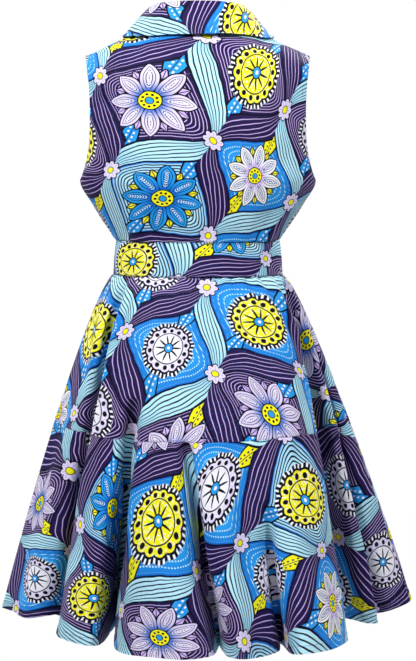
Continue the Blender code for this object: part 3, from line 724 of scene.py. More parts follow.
def stitched(name, paths):
    """Short rounded stitches along paths of points on the cloth, as one piece."""
    verts, faces = [], []
    for points, ups in paths:
        step = np.linalg.norm(np.diff(points, axis=0), axis=-1)
        at = np.concatenate([[0.0], np.cumsum(step)])
        count = int(at[-1] / (STITCH + STITCH_GAP))
        if not count:
            continue
        pitch = at[-1] / count
        for k in range(count):
            a, b = k * pitch + STITCH_GAP / 2, (k + 1) * pitch - STITCH_GAP / 2
            line = np.array([[np.interp(s, at, points[:, j]) for j in range(3)] for s in np.linspace(a, b, 5)])
            up = np.array([np.interp((a + b) / 2, at, ups[:, j]) for j in range(3)])
            up /= np.linalg.norm(up)
            way = line[-1] - line[0]
            way /= np.linalg.norm(way)
            side = np.cross(up, way)
            side /= np.linalg.norm(side)
            first = len(verts)
            for j, p in enumerate(line):
                share = abs(j - 2) / 2
                radius = THREAD_RADIUS * (1 - 0.55 * share**2)
                lift = THREAD_RADIUS * (0.55 - 1.0 * share**2)
                for q in range(6):
                    turn = 2 * math.pi * q / 6
                    verts.append(p + side * math.cos(turn) * radius * 1.15 + up * (math.sin(turn) * radius + lift))
            for j in range(4):
                for q in range(6):
                    r = (q + 1) % 6
                    faces.append((first + j * 6 + q, first + j * 6 + r, first + j * 6 + 6 + r, first + j * 6 + 6 + q))
            faces.append(tuple(first + q for q in range(5, -1, -1)))
            faces.append(tuple(first + 24 + q for q in range(6)))
    mesh = bpy.data.meshes.new(name)
    mesh.from_pydata([tuple(p) for p in verts], [], faces)
    mesh.shade_smooth()
    obj = bpy.data.objects.new(name, mesh)
    bpy.context.scene.collection.objects.link(obj)
    mesh.materials.append(thread)
    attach(obj, "root")
    return obj


def on_top(P, n, thick, out=0.0):
    return P + n * (np.asarray(thick)[..., None] / 2 + out)


def row_at(grid, down, wanted):
    """The line across a grid at a distance down each of its columns."""
    cols = grid.shape[1]
    return np.array([[np.interp(wanted, down[:, c], grid[:, c, k]) for k in range(3)] for c in range(cols)])


def column_at(grid, arc, wanted, rows):
    """The line down a grid at a distance along each of its rows."""
    return np.array([[np.interp(wanted[r], arc[r], grid[r, :, k]) for k in range(3)] for r in rows])


# ---------------------------------------------------------------- the pieces

sheets = {}


def placed(name, P, UV, n, thick, flat, area, held, rests_on, offset, stitches=()):
    """The piece itself, on its body, in place of its solid."""
    obj = shell(name + "_cloth", P, UV * 1.0 + np.array(offset), n, thick)
    obj.data.materials.append(printed_cotton)
    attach(obj, "root")
    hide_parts(name)
    sheets[name] = (obj, [float(s) for s in flat], float(area), held, rests_on, list(stitches))
    return obj


def bodice_uv(side, P):
    """Where the points lie in the cloth: across its level from the middle, and up it."""
    x, z = P[..., 0], P[..., 2]
    level = np.minimum(z, CHEST_TOP_Z)
    steps = np.linspace(0, 1, 33)[:, None, None]
    line = torso_point(side, x * steps, level + 0 * steps)
    across = np.sign(x) * np.linalg.norm(np.diff(line, axis=0), axis=-1).sum(axis=0)
    # The profile at the middle up to the chest, then over the shoulder as an ellipse.
    zs = np.linspace(WAIST_TOP_Z, CHEST_TOP_Z, 60)
    profile = lengths(torso_point(side, 0 * zs, zs)[:, None], 0)[:, 0]
    high = crest(x) - CHEST_TOP_Z
    angle = np.arcsin(np.clip((z - CHEST_TOP_Z) / high, 0, 1)) * steps
    deep = torso_depth(side, x, np.full(x.shape, CHEST_TOP_Z))
    over = np.stack([deep * np.cos(angle), high * np.sin(angle)], axis=-1)
    up = np.interp(level, zs, profile) + np.linalg.norm(np.diff(over, axis=0), axis=-1).sum(axis=0)
    return np.stack([across, up], axis=-1)


def bodice(side):
    name = f"bodice_{side}"
    P, u, v = bodice_grid(side)
    arc = lengths(P, 1)
    UV = bodice_uv(side, P)
    area = surface_area(P)
    flat = tuple(UV.reshape(-1, 2).max(0) - UV.reshape(-1, 2).min(0))
    n = facing_out(P)
    seed = 11 if side == "back" else 12
    soft = ripples(UV[..., 0], UV[..., 1], seed, 9, 0.11, 0.15) * 0.0006
    near = 1 - smooth(0.0, 0.022, UV[..., 1])
    tight = near * ripples(UV[..., 0], UV[..., 1] * 0.4, seed + 10, 6, 0.013, 0.2) * 0.0006
    still = smooth(0.0, 0.012, np.minimum(arc, arc[:, -1:] - arc))
    P = creased(name, P + n * ((soft + tight) * still)[..., None], still)
    turn = -1 if side == "back" else 1
    P[..., 1] = turn * np.maximum(turn * P[..., 1], SEAM_GAP)
    # The armhole is a turned edge: thicker, and drawn in a little under its stitches.
    in_from = np.minimum(arc, arc[:, -1:] - arc)
    above = (v > 1.0)[:, None] * np.ones_like(in_from)
    thick = CLOTH + (TURNED - CLOTH) * above * (1 - smooth(0.0085, 0.0100, in_from))
    dimple = -0.00025 * above * np.exp(-(((in_from - 0.0075) / 0.0012) ** 2))
    n = facing_out(P)
    P = P + n * dimple[..., None]
    n = facing_out(P)
    outer = on_top(P, n, thick)
    rows = [r for r in range(P.shape[0]) if v[r] > 1.004]
    reach = np.where(v > 1, arc[:, -1], 0.02)
    edge_left = column_at(outer, arc, np.full(len(v), 0.0075), rows)
    edge_right = column_at(outer, arc, reach - 0.0075, rows)
    ups_left = column_at(n, arc, np.full(len(v), 0.0075), rows)
    ups_right = column_at(n, arc, reach - 0.0075, rows)
    sewn = stitched(f"{name}_stitches", [(edge_left, ups_left), (edge_right, ups_right)])
    P, UV, n, thick = turned(P, UV, n, thick, ["top"])
    placed(name, P, UV, n, thick, flat, area, "hung", ["collar_stand_cloth"], PRINT_AT[name], [sewn])


def waistband(side):
    name = f"waistband_{side}"
    turn = -1 if side == "back" else 1
    rows, cols = 22, 220
    share = np.linspace(0, 1, rows)[:, None]
    top_z, low_z = WAIST_TOP_Z - SEAM_GAP, WAIST_BOTTOM_Z + SEAM_GAP
    a = WAIST_TOP_HALF[0] + (WAIST_BOTTOM_HALF[0] - WAIST_TOP_HALF[0]) * share
    b = WAIST_TOP_HALF[1] + (WAIST_BOTTOM_HALF[1] - WAIST_TOP_HALF[1]) * share
    gap = SEAM_GAP / a
    angle = -math.pi / 2 + gap + (math.pi - 2 * gap) * np.linspace(0, 1, cols)[None, :]
    z = top_z + (low_z - top_z) * share + 0 * angle
    P = np.stack([a * np.sin(angle), turn * b * np.cos(angle), z], axis=-1)
    arc, down = lengths(P, 1), lengths(P, 0)
    UV = np.stack([arc - arc[:, -1:] / 2, -down], axis=-1)
    area = surface_area(P)
    flat = (arc.max(), down.max())
    n = facing_out(P)
    edge = np.minimum(down, down.max() - down)
    puff = 0.0006 * np.sin(math.pi * share) + 0 * angle
    tight = (1 - smooth(0.0, 0.012, edge)) * ripples(UV[..., 0], UV[..., 1] * 0.3, 31, 6, 0.011, 0.2) * 0.0003
    soft = ripples(UV[..., 0], UV[..., 1], 32 + turn, 7, 0.06, 0.10) * 0.0003
    still = smooth(0.0, 0.010, np.minimum(arc, arc[:, -1:] - arc))
    P = creased(name, P + n * (puff + (tight + soft) * still)[..., None], still)
    P[..., 1] = turn * np.maximum(turn * P[..., 1], SEAM_GAP)
    n = facing_out(P)
    thick = np.full(P.shape[:2], DOUBLE)
    outer = on_top(P, n, thick)
    sewn = stitched(
        f"{name}_stitches",
        [(row_at(outer, down, d), row_at(n, down, d)) for d in (0.0016, down.max() - 0.0016)],
    )
    P, UV, n, thick = turned(P, UV, n, thick, ["top", "bottom"])
    placed(name, P, UV, n, thick, flat, area, "stretched", [f"bodice_{side}_cloth"], PRINT_AT[name], [sewn])


def collar():
    stand, fall = collar_grids()
    arc, down = lengths(stand, 1), lengths(stand, 0)
    UV = np.stack([arc - arc[:, -1:] / 2, down], axis=-1)
    n = facing_out(stand, (0.0, 0.0, 0.0))
    placed("collar_stand", stand, UV, n, np.full(stand.shape[:2], 0.0011), (arc.max(), down.max()), surface_area(stand), "folded", ["bodice_back_cloth"], PRINT_AT["collar_stand"])
    arc, down = lengths(fall, 1), lengths(fall, 0)
    UV = np.stack([arc - arc[:, -1:] / 2, down], axis=-1)
    area, flat = surface_area(fall), (arc.max(), down.max())
    edge = np.minimum(np.minimum(arc, arc[:, -1:] - arc), down[-1:] - down)
    dimple = -0.0002 * np.exp(-(((edge - 0.0055) / 0.0009) ** 2)) * smooth(0.012, 0.016, down)
    soft = ripples(UV[..., 0], UV[..., 1], 41, 7, 0.07, 0.05) * 0.00035
    n = collar_normals(fall)
    fall = fall + n * (dimple + soft * smooth(0.004, 0.02, down))[..., None]
    n = collar_normals(fall)
    thick = np.full(fall.shape[:2], DOUBLE)
    outer = on_top(fall, n, thick)
    line = []
    for c in range(4, fall.shape[1] - 4):
        line.append((c, down[-1, c] - 0.0055))
    pts = np.array([[np.interp(d, down[:, c], outer[:, c, k]) for k in range(3)] for c, d in line])
    ups = np.array([[np.interp(d, down[:, c], n[:, c, k]) for k in range(3)] for c, d in line])
    sewn = stitched("collar_fall_stitches", [(pts, ups)])
    placed("collar_fall", fall, UV, n, thick, flat, area, "folded", ["collar_stand_cloth"], PRINT_AT["collar_fall"], [sewn])


def collar_normals(fall):
    """Normals of the collar's fall, on the side that shows."""
    n = normals(fall)
    mid = fall.shape[1] // 2
    return n if n[-3, mid, 1] < 0 else -n


def annulus(P):
    """UV of a flared piece as it was cut flat, a part of a ring, with its sizes."""
    arc = lengths(P, 1)
    down = lengths(P, 0).mean(axis=1)
    top, bottom, high = arc[0, -1], arc[-1, -1], down[-1]
    sector = (bottom - top) / high
    inner = top / sector
    r = inner + down
    angle = (arc / arc[:, -1:] - 0.5) * sector
    UV = np.stack([r[:, None] * np.sin(angle), -r[:, None] * np.cos(angle)], axis=-1)
    area = sector / 2 * (r[-1] ** 2 - inner**2)
    if sector < math.pi:
        flat = (2 * r[-1] * math.sin(sector / 2), r[-1] - inner * math.cos(sector / 2))
    else:
        flat = (2 * r[-1], r[-1] * (1 - math.cos(sector / 2)))
    print(f"cut: sector {math.degrees(sector):.0f} deg, radii {inner:.3f} to {r[-1]:.3f} m")
    return UV, arc, flat, area


def ring_normals(P):
    """Normals of a folded grid, all on the side that faces out of the skirt."""
    n = normals(P)
    from_axis = (P - np.array([HEM_CENTRE_X, 0.0, 0.0])) * np.array([1.0, 1.0, 0.0])
    return n * (np.sign((n * from_axis).sum()) or 1.0)


def skirt():
    ring, at = skirt_surface()
    names = [row[0] for row in FOLD_LINES]
    first, last = (names.index(n) * PER_LINE for n in SIDE_SEAMS)
    count = len(names) * PER_LINE
    for side in ("back", "front"):
        columns = (
            np.arange(first, last + 1)
            if side == "back"
            else np.concatenate([np.arange(last, count), np.arange(0, first + 1)])
        )
        half = ring[:, columns].copy()
        for tier in ("upper", "lower"):
            name = f"skirt_{tier}_{side}"
            rows = at <= TIER_AT + 1e-9 if tier == "upper" else at >= TIER_AT - 1e-9
            P, t = half[rows].copy(), at[rows]
            for end, nxt in ((0, 1), (-1, -2)):
                far = np.linalg.norm(P[:, nxt] - P[:, end], axis=-1, keepdims=True)
                P[:, end] += (P[:, nxt] - P[:, end]) * SEAM_GAP / far
            seam_row, other = (-1, -2) if tier == "upper" else (0, 1)
            far = np.linalg.norm(P[other] - P[seam_row], axis=-1, keepdims=True)
            P[seam_row] += (P[other] - P[seam_row]) * SEAM_GAP / far
            UV, arc, flat, area = annulus(P)
            share = arc / arc[:, -1:]
            n = ring_normals(P)
            seed = {"upper": 51, "lower": 61}[tier] + (side == "front")
            long = share * 1.3
            push = skirt_push(side, share, t, arc[:, -1:])
            push += ripples(long, t[:, None] * SKIRT_LENGTH, 51 + (side == "front"), 9, 0.10, 0.22) * 0.0012 * smooth(0.0, 0.2, t)[:, None]
            for line, t0, t1, t2, t3, width, depth in FOLD_DEPTHS:
                hit = np.flatnonzero(columns == names.index(line) * PER_LINE)
                if len(hit):
                    off = arc - arc[:, hit[0]][:, None]
                    taper = smooth(t0, t1, t) * (1 - smooth(t2, t3, t))
                    push -= depth * np.exp(-((off / width) ** 2)) * taper[:, None]
            # The side seams stay where they are, so the pieces meet.
            push *= smooth(0.0, 0.014, np.minimum(arc, arc[:, -1:] - arc))
            seam = np.abs(t - TIER_AT)[:, None] * SKIRT_LENGTH
            waist = t[:, None] * SKIRT_LENGTH
            tight = (1 - smooth(0.0, 0.022, seam)) * 0.0007 + (1 - smooth(0.0, 0.018, waist)) * 0.0005
            push += tight * ripples(share * (1.2 if tier == "upper" else 1.2), waist * 0.2, 71 + (side == "front"), 7, 0.030, 0.3)
            hem = (1 - t)[:, None] * SKIRT_LENGTH + 0 * arc
            thick = np.full(P.shape[:2], CLOTH)
            if tier == "lower":
                thick = thick + (TURNED - CLOTH) * (1 - smooth(0.0095, 0.0115, hem))
                push -= 0.0002 * np.exp(-(((hem - 0.0085) / 0.0010) ** 2))
                push += (1 - smooth(0.0, 0.016, hem)) * ripples(arc, hem * 0.2, seed + 9, 6, 0.024, 0.4) * 0.0004
            P = P + n * push[..., None]
            n = ring_normals(P)
            sewn = []
            if tier == "lower":
                outer = on_top(P, n, thick)
                down = lengths(P, 0)
                r = int(np.argmin(np.abs(hem[:, 0] - 0.0085)))
                sewn = [stitched(f"{name}_stitches", [(outer[r, 3:-3], n[r, 3:-3])])]
            P, UV, n, thick = turned(P, UV, n, thick, ["top", "bottom"] if tier == "upper" else ["top"])
            above = f"waistband_{side}_cloth" if tier == "upper" else f"skirt_upper_{side}_cloth"
            placed(name, P, UV, n, thick, flat, area, "hung", [above], PRINT_AT[name], sewn)


# ---------------------------------------------------------------- the wax print

NAVY = (0.015, 0.008, 0.064)
INK = (0.002, 0.001, 0.010)
LILAC = (0.590, 0.450, 0.830)
CYAN = (0.480, 0.800, 0.950)
AZURE = (0.018, 0.310, 0.800)
TEAL = (0.030, 0.330, 0.520)
MID_BLUE = (0.004, 0.120, 0.560)
YELLOW = (0.880, 0.830, 0.008)
LAVENDER = (0.700, 0.630, 0.880)
WHITE = (0.860, 0.870, 0.930)

TRELLIS = (0.150, 0.212)  # width and height of one cell of the trellis
TURN_DEG = 34.0  # the trellis lies across the grain


class Num:
    """A number worked out in a material's node tree, to be used like any other."""

    tree = None

    def __init__(self, socket):
        self.socket = socket

    @staticmethod
    def feed(value, socket):
        if isinstance(value, Num):
            Num.tree.links.new(value.socket, socket)
        else:
            socket.default_value = value

    def math(self, operation, *others, clamp=False):
        node = Num.tree.nodes.new("ShaderNodeMath")
        node.operation = operation
        node.use_clamp = clamp
        for value, socket in zip((self, *others), node.inputs):
            Num.feed(value, socket)
        return Num(node.outputs[0])

    def __add__(self, o):
        return self.math("ADD", o)

    __radd__ = __add__

    def __sub__(self, o):
        return self.math("SUBTRACT", o)

    def __rsub__(self, o):
        return Num.math(o, "SUBTRACT", self) if isinstance(o, Num) else (self * -1.0) + o

    def __mul__(self, o):
        return self.math("MULTIPLY", o)

    __rmul__ = __mul__

    def __truediv__(self, o):
        return self.math("DIVIDE", o)

    def __neg__(self):
        return self * -1.0

    def abs(self):
        return self.math("ABSOLUTE")

    def sin(self):
        return self.math("SINE")

    def cos(self):
        return self.math("COSINE")

    def floor(self):
        return self.math("FLOOR")

    def fract(self):
        return self.math("FRACT")

    def sqrt(self):
        return self.math("SQRT")

    def power(self, p):
        return self.math("POWER", p)

    def min(self, o):
        return self.math("MINIMUM", o)

    def max(self, o):
        return self.math("MAXIMUM", o)

    def below(self, o):
        return self.math("LESS_THAN", o)

    def above(self, o):
        return self.math("GREATER_THAN", o)

    def fold(self, o):
        return self.math("PINGPONG", o)

    def ramp(self, a, b):
        """0 at a and 1 at b, with a soft turn at both."""
        node = Num.tree.nodes.new("ShaderNodeMapRange")
        node.interpolation_type = "SMOOTHSTEP"
        node.clamp = True
        Num.feed(self, node.inputs["Value"])
        low, high = (a, b) if a < b else (b, a)
        node.inputs["From Min"].default_value = low
        node.inputs["From Max"].default_value = high
        node.inputs["To Min"].default_value = 0.0 if a < b else 1.0
        node.inputs["To Max"].default_value = 1.0 if a < b else 0.0
        return Num(node.outputs["Result"])

    def line(self, centre, half, soft=0.0002):
        """1 within half of centre, else 0."""
        off = (self - centre).abs()
        if isinstance(half, Num):
            return (off - half).ramp(soft, -soft)
        return off.ramp(half + soft, max(half - soft, 0.0))


def ink(tree, below, colour, where):
    """The colour below, with another printed over it where that is 1."""
    node = tree.nodes.new("ShaderNodeMix")
    node.data_type = "RGBA"
    Num.feed(where, node.inputs["Factor"])
    for value, name in ((below, 6), (colour, 7)):
        if isinstance(value, tuple):
            node.inputs[name].default_value = (*value, 1.0)
        else:
            tree.links.new(value, node.inputs[name])
    return node.outputs[2]


def noise(tree, vector, scale, detail=0.0, name="Factor", dims="2D"):
    node = tree.nodes.new("ShaderNodeTexNoise")
    node.noise_dimensions = dims
    node.inputs["Scale"].default_value = scale
    node.inputs["Detail"].default_value = detail
    tree.links.new(vector, node.inputs["Vector"])
    if name == "Color":
        split = tree.nodes.new("ShaderNodeSeparateColor")
        tree.links.new(node.outputs["Color"], split.inputs[0])
        return [Num(split.outputs[k]) for k in range(3)]
    return Num(node.outputs[0])


def combine(tree, x, y, z=0.0):
    node = tree.nodes.new("ShaderNodeCombineXYZ")
    for value, socket in zip((x, y, z), node.inputs):
        Num.feed(value, socket)
    return node.outputs[0]


def voronoi(tree, vector, scale, feature="F1", randomness=1.0):
    node = tree.nodes.new("ShaderNodeTexVoronoi")
    node.voronoi_dimensions = "2D"
    node.feature = feature
    node.inputs["Scale"].default_value = scale
    node.inputs["Randomness"].default_value = randomness
    tree.links.new(vector, node.inputs["Vector"])
    return node


def wax_print(name, roughness):
    """Printed cotton: a trellis of lined bands, with rosettes and drops in its cells."""
    mat = bpy.data.materials.new(name)
    mat.use_nodes = True
    tree = mat.node_tree
    shader = tree.nodes["Principled BSDF"]
    Num.tree = tree
    uv = tree.nodes.new("ShaderNodeUVMap")
    uv.uv_map = "cloth"
    flat = uv.outputs[0]
    split = tree.nodes.new("ShaderNodeSeparateXYZ")
    tree.links.new(flat, split.inputs[0])
    u, v = Num(split.outputs[0]), Num(split.outputs[1])

    # Across the grain, and drawn by a hand that isn't quite steady.
    c, s = math.cos(math.radians(TURN_DEG)), math.sin(math.radians(TURN_DEG))
    slow = noise(tree, flat, 5.0, 0.0, "Color")
    quick = noise(tree, flat, 42.0, 1.0, "Color")
    x = u * c - v * s + (slow[0] - 0.5) * 0.060 + (quick[0] - 0.5) * 0.0028
    y = u * s + v * c + (slow[1] - 0.5) * 0.060 + (quick[1] - 0.5) * 0.0028
    wide, high = TRELLIS
    pi = math.pi

    big_x = x * (2 * pi / wide)
    big_y = y * (2 * pi / high)
    tri = big_x.fold(pi)
    cos_y, sin_y = big_y.cos(), big_y.sin()
    f = (cos_y + 1.0) * (pi / 2) - tri
    slope = sin_y * (pi * wide / (2 * high))
    d = f * (wide / (2 * pi)) / (slope * slope + 1.0).sqrt()
    swell = sin_y.abs().power(1.3)
    # The dark wave is wider than the pale one.
    dark_band = (x / wide).fract().below(0.5)
    band = swell * (dark_band * 0.0040 + 0.0105) + 0.0042
    off = d.abs()
    edge = off - band  # out of the band

    # Which cell, and where in it.
    odd = f.below(0.0)
    cx = x + odd * (wide / 2)
    cy = y + odd * (high / 2)
    ix = (cx / wide + 0.5).floor()
    iy = (cy / high + 0.5).floor()
    lx = cx - ix * wide
    ly = cy - iy * high
    white = tree.nodes.new("ShaderNodeTexWhiteNoise")
    white.noise_dimensions = "2D"
    tree.links.new(combine(tree, ix * 3.0 + odd * 7.3, iy * 5.0 + odd * 1.7), white.inputs["Vector"])
    pick = tree.nodes.new("ShaderNodeSeparateColor")
    tree.links.new(white.outputs["Color"], pick.inputs[0])
    pick_a, pick_b, pick_c = (Num(pick.outputs[k]) for k in range(3))

    # Ground of the cells: blue, pale or dark, with echo lines of the band.
    is_blue = pick_a.below(0.34)
    is_dark = pick_a.above(0.66)
    deep = edge.ramp(0.030, 0.004)
    pale_ground = ink(tree, CYAN, AZURE, deep * 0.30)
    blue_ground = ink(tree, AZURE, MID_BLUE, deep * 0.50)
    ground = ink(tree, pale_ground, blue_ground, is_blue)
    ground = ink(tree, ground, NAVY, is_dark)
    echo_at = edge + (slow[2] - 0.5) * 0.004
    echo = (echo_at / 0.0048).fract().line(0.5, (1.0 - is_dark) * 0.09 + 0.11, 0.05) * edge.above(0.0028)
    echo_colour = ink(tree, INK, LILAC, is_dark)
    ground = ink(tree, ground, echo_colour, echo * (1.0 - is_blue))
    ground = ink(tree, ground, MID_BLUE, edge.ramp(0.0052, 0.0022) * (1.0 - is_dark))
    # Blue cells: rows of pale dashes instead.
    dash_row = (edge / 0.0085).fract().line(0.5, 0.11, 0.05)
    dash = ((lx * 0.8 + ly * 1.7) / 0.0060).fract().line(0.5, 0.27, 0.06)
    ground = ink(tree, ground, CYAN, dash_row * dash * is_blue * edge.above(0.005))

    # Drops above and below the rosette.
    up = ly.abs() - 0.0565
    lens = (up / 0.027) * (up / 0.027)
    drop = (1.0 - lens) * 0.0098 - lx.abs()
    ground = ink(tree, ground, INK, drop.ramp(-0.0025, -0.0019))
    drop_ground = ink(tree, AZURE, YELLOW, pick_c.above(0.72))
    ground = ink(tree, ground, drop_ground, drop.ramp(-0.0002, 0.0002))
    seeds = (up / 0.0062).fract().line(0.5, 0.22, 0.06) * lx.abs().line(0.0033, 0.0011, 0.0003)
    ground = ink(tree, ground, WHITE, seeds * drop.above(0.0012) * pick_c.below(0.72))
    ground = ink(tree, ground, NAVY, seeds * drop.above(0.0012) * pick_c.above(0.72))
    ground = ink(tree, ground, NAVY, lx.abs().line(0.0, 0.0005, 0.0002) * drop.above(0.0005))

    ground_plain = ground

    # Rosette: a scalloped disc with a hatched rim, dots and rays.
    r = (lx * lx + ly * ly).sqrt()
    round_ = ly.math("ARCTAN2", lx) + pick_b * 2.0
    size = pick_b * 0.005 + 0.0310
    scallop = (round_ * 7.0).sin().abs()
    rim = size * (scallop * 0.085 + 0.92)
    q = r / size
    yellow_one = pick_b.above(0.58)
    disc_colour = ink(tree, WHITE, LAVENDER, q.ramp(0.35, 0.95))
    disc_colour = ink(tree, disc_colour, YELLOW, yellow_one)
    ticks = (round_ * (40 / (2 * pi))).fract().line(0.5, 0.29, 0.06)
    halo = (r - rim).ramp(0.0064, 0.0056)
    ground = ink(tree, ground, WHITE, halo * edge.above(0.0))
    ground = ink(tree, ground, INK, ticks * halo * edge.above(0.0))
    inside = (r - rim).ramp(0.0003, -0.0003) * edge.above(-0.001)
    ground = ink(tree, ground, disc_colour, inside)
    ground = ink(tree, ground, INK, (r - rim).line(0.0, 0.0013) * edge.above(-0.001))
    # Speckles of bare cloth in the disc.
    spots = voronoi(tree, combine(tree, x, y), 260.0)
    spot = Num(spots.outputs["Distance"]).ramp(0.30, 0.18) * q.line(0.62, 0.30, 0.04)
    ground = ink(tree, ground, WHITE, spot * inside * 0.9)
    # Inner ring of arcs, dots and rays.
    ring_line = q.line(0.66, 0.022, 0.008)
    ground = ink(tree, ground, INK, ring_line * inside)
    turn14 = (round_ * (14 / (2 * pi))).fract() - 0.5
    dot_d = ((turn14 * q * (2 * pi / 14)).power(2.0) + (q - 0.80).power(2.0)).sqrt()
    ground = ink(tree, ground, INK, dot_d.ramp(0.100, 0.080) * inside)
    turn10 = ((round_ * (10 / (2 * pi))).fract() - 0.5).abs()
    ray = (turn10 - (0.62 - q) * 0.62).ramp(0.03, -0.03) * q.line(0.38, 0.20, 0.02)
    ground = ink(tree, ground, INK, ray * inside)
    ground = ink(tree, ground, AZURE, q.ramp(0.185, 0.165) * inside)
    ground = ink(tree, ground, INK, q.line(0.19, 0.022, 0.008) * inside)
    ground = ink(tree, ground, WHITE, q.ramp(0.075, 0.055) * inside)

    # In other cells: a flower of eight pointed petals over eight narrow ones.
    is_flower = (pick_c * 5.77).fract().above(0.60)
    reach = pick_a * 0.004 + 0.0435
    s = r / reach
    eighth = (round_ * (8 / (2 * pi))).fract()
    behind = (((eighth + 0.5).fract() - 0.5) * (2 * pi / 8)).abs() * r
    before = ((eighth - 0.5) * (2 * pi / 8)).abs() * r
    swell_b = ((s - 0.10) * (1 / 0.78)).max(0.0).min(1.0)
    narrow = (swell_b * pi).sin().power(0.8) * 0.0064 - behind
    swell_f = ((s - 0.12) * (1 / 0.88)).max(0.0).min(1.0)
    petal_w = (swell_f.power(1.25) * pi).sin().power(0.75) * 0.0092 - before
    petals = ink(tree, AZURE, WHITE, is_blue)
    petals = ink(tree, petals, LAVENDER, is_dark)
    base = ink(tree, MID_BLUE, LILAC, is_blue)
    bloom = ink(tree, ground_plain, INK, narrow.ramp(-0.0022, -0.0017) * s.line(0.45, 0.46, 0.01))
    bloom = ink(tree, bloom, ink(tree, YELLOW, LILAC, is_dark), narrow.ramp(-0.0002, 0.0002) * s.below(0.88))
    bloom = ink(tree, bloom, NAVY, behind.line(0.0, 0.0005) * s.line(0.62, 0.24, 0.02))
    bloom = ink(tree, bloom, INK, petal_w.ramp(-0.0022, -0.0017) * s.below(1.025))
    petal_in = petal_w.ramp(-0.0002, 0.0002)
    bloom = ink(tree, bloom, ink(tree, petals, base, s.ramp(0.62, 0.20)), petal_in)
    vein_at = (petal_w / 0.0028 + 0.25).fract().line(0.5, 0.14, 0.05) * petal_w.above(0.0012)
    bloom = ink(tree, bloom, INK, vein_at * petal_in * s.above(0.30))
    barbs = (s * 15.0 - before * 260.0).fract().line(0.5, 0.16, 0.05)
    bloom = ink(tree, bloom, ink(tree, WHITE, MID_BLUE, is_blue), barbs * before.line(0.0, 0.0019, 0.0003) * s.line(0.60, 0.24, 0.02) * petal_in)
    heart = s.ramp(0.245, 0.235)
    bloom = ink(tree, bloom, INK, s.ramp(0.275, 0.265))
    bloom = ink(tree, bloom, YELLOW, heart)
    heart_dot = (((round_ * (9 / (2 * pi))).fract() - 0.5) * (2 * pi / 9) * s).power(2.0) + (s - 0.17).power(2.0)
    bloom = ink(tree, bloom, INK, heart_dot.sqrt().ramp(0.038, 0.028))
    bloom = ink(tree, bloom, AZURE, s.ramp(0.085, 0.075))
    bloom = ink(tree, bloom, INK, s.line(0.09, 0.012, 0.006))
    ground = ink(tree, ground, bloom, is_flower * edge.above(-0.001))

    # Bands: dark with lilac lines, and pale with dark ones, each wave its own.
    t = d / band
    fine = swell * 0.035 + 0.045 + (1.0 - dark_band) * 0.070
    stripe_at = (t * 2.9 + 0.5 + (quick[2] - 0.5) * 0.10).fract()
    stripe = (stripe_at - 0.5).abs() - fine
    stripe = stripe.ramp(0.05, -0.05) * t.abs().below(0.90)
    inner = edge.ramp(-0.0002, -0.0007)
    dark = ink(tree, NAVY, LILAC, stripe)
    pale = ink(tree, CYAN, TEAL, (1.0 - swell) * 0.45)
    pale = ink(tree, pale, INK, stripe)
    lined = ink(tree, pale, dark, dark_band)
    ground = ink(tree, ground, INK, edge.ramp(0.0023, 0.0017))
    colour = ink(tree, ground, lined, inner)

    # A small flower where two waves meet.
    kx = x + (cos_y.above(0.0)) * (wide / 2)
    ky = y + (cos_y.below(0.0)) * (high / 2)
    fx = kx - (kx / wide + 0.5).floor() * wide
    fy = ky - (ky / high + 0.5).floor() * high
    fr = (fx * fx + fy * fy).sqrt()
    fa = fy.math("ARCTAN2", fx)
    petal = ((fa * 4.0).sin().abs() * 0.30 + 0.70) * 0.0135
    colour = ink(tree, colour, INK, (fr - petal).ramp(0.0014, 0.0009))
    colour = ink(tree, colour, LAVENDER, (fr - petal).ramp(-0.0002, -0.0006))
    colour = ink(tree, colour, MID_BLUE, ((fa * 4.0).cos().abs() * fr).line(0.0, 0.0006) * fr.line(0.0080, 0.0030, 0.0004))
    colour = ink(tree, colour, INK, fr.ramp(0.0052, 0.0047))
    colour = ink(tree, colour, YELLOW, fr.ramp(0.0042, 0.0037))

    # Crackle of the wax: thin darker veins, in patches, and a slight unevenness.
    veins = voronoi(tree, flat, 75.0, "DISTANCE_TO_EDGE")
    patchy = noise(tree, flat, 9.0, 2.0)
    vein = Num(veins.outputs["Distance"]).ramp(0.028, 0.006) * patchy.ramp(0.50, 0.62) * 0.30
    colour = ink(tree, colour, MID_BLUE, vein)
    cloudy = noise(tree, flat, 30.0, 3.0)
    shade = tree.nodes.new("ShaderNodeHueSaturation")
    Num.feed(cloudy * 0.16 + 0.90, shade.inputs["Value"])
    tree.links.new(colour, shade.inputs["Color"])

    # Weave: warp over weft, about 24 threads to the centimetre.
    pitch = 2 * pi / 0.00042
    weave = (u * pitch).sin() * (v * pitch).sin()
    slub = noise(tree, combine(tree, u * 40.0, v * 900.0), 1.0, 1.0)
    slub_2 = noise(tree, combine(tree, u * 900.0, v * 40.0), 1.0, 1.0)
    height = weave * 0.5 + slub * 0.7 + slub_2 * 0.7
    bump = tree.nodes.new("ShaderNodeBump")
    bump.inputs["Strength"].default_value = 0.35
    bump.inputs["Distance"].default_value = 0.00012
    Num.feed(height, bump.inputs["Height"])
    tree.links.new(bump.outputs[0], shader.inputs["Normal"])
    thread = tree.nodes.new("ShaderNodeHueSaturation")
    Num.feed(weave * 0.035 + (slub + slub_2) * 0.06 + 0.94, thread.inputs["Value"])
    tree.links.new(shade.outputs[0], thread.inputs["Color"])
    tree.links.new(thread.outputs[0], shader.inputs["Base Color"])
    rough = cloudy * 0.10 + (roughness - 0.05)
    Num.feed(rough, shader.inputs["Roughness"])
    shader.inputs["Specular IOR Level"].default_value = 0.10
    shader.inputs["Sheen Weight"].default_value = 0.01
    shader.inputs["Sheen Roughness"].default_value = 0.45
    return mat


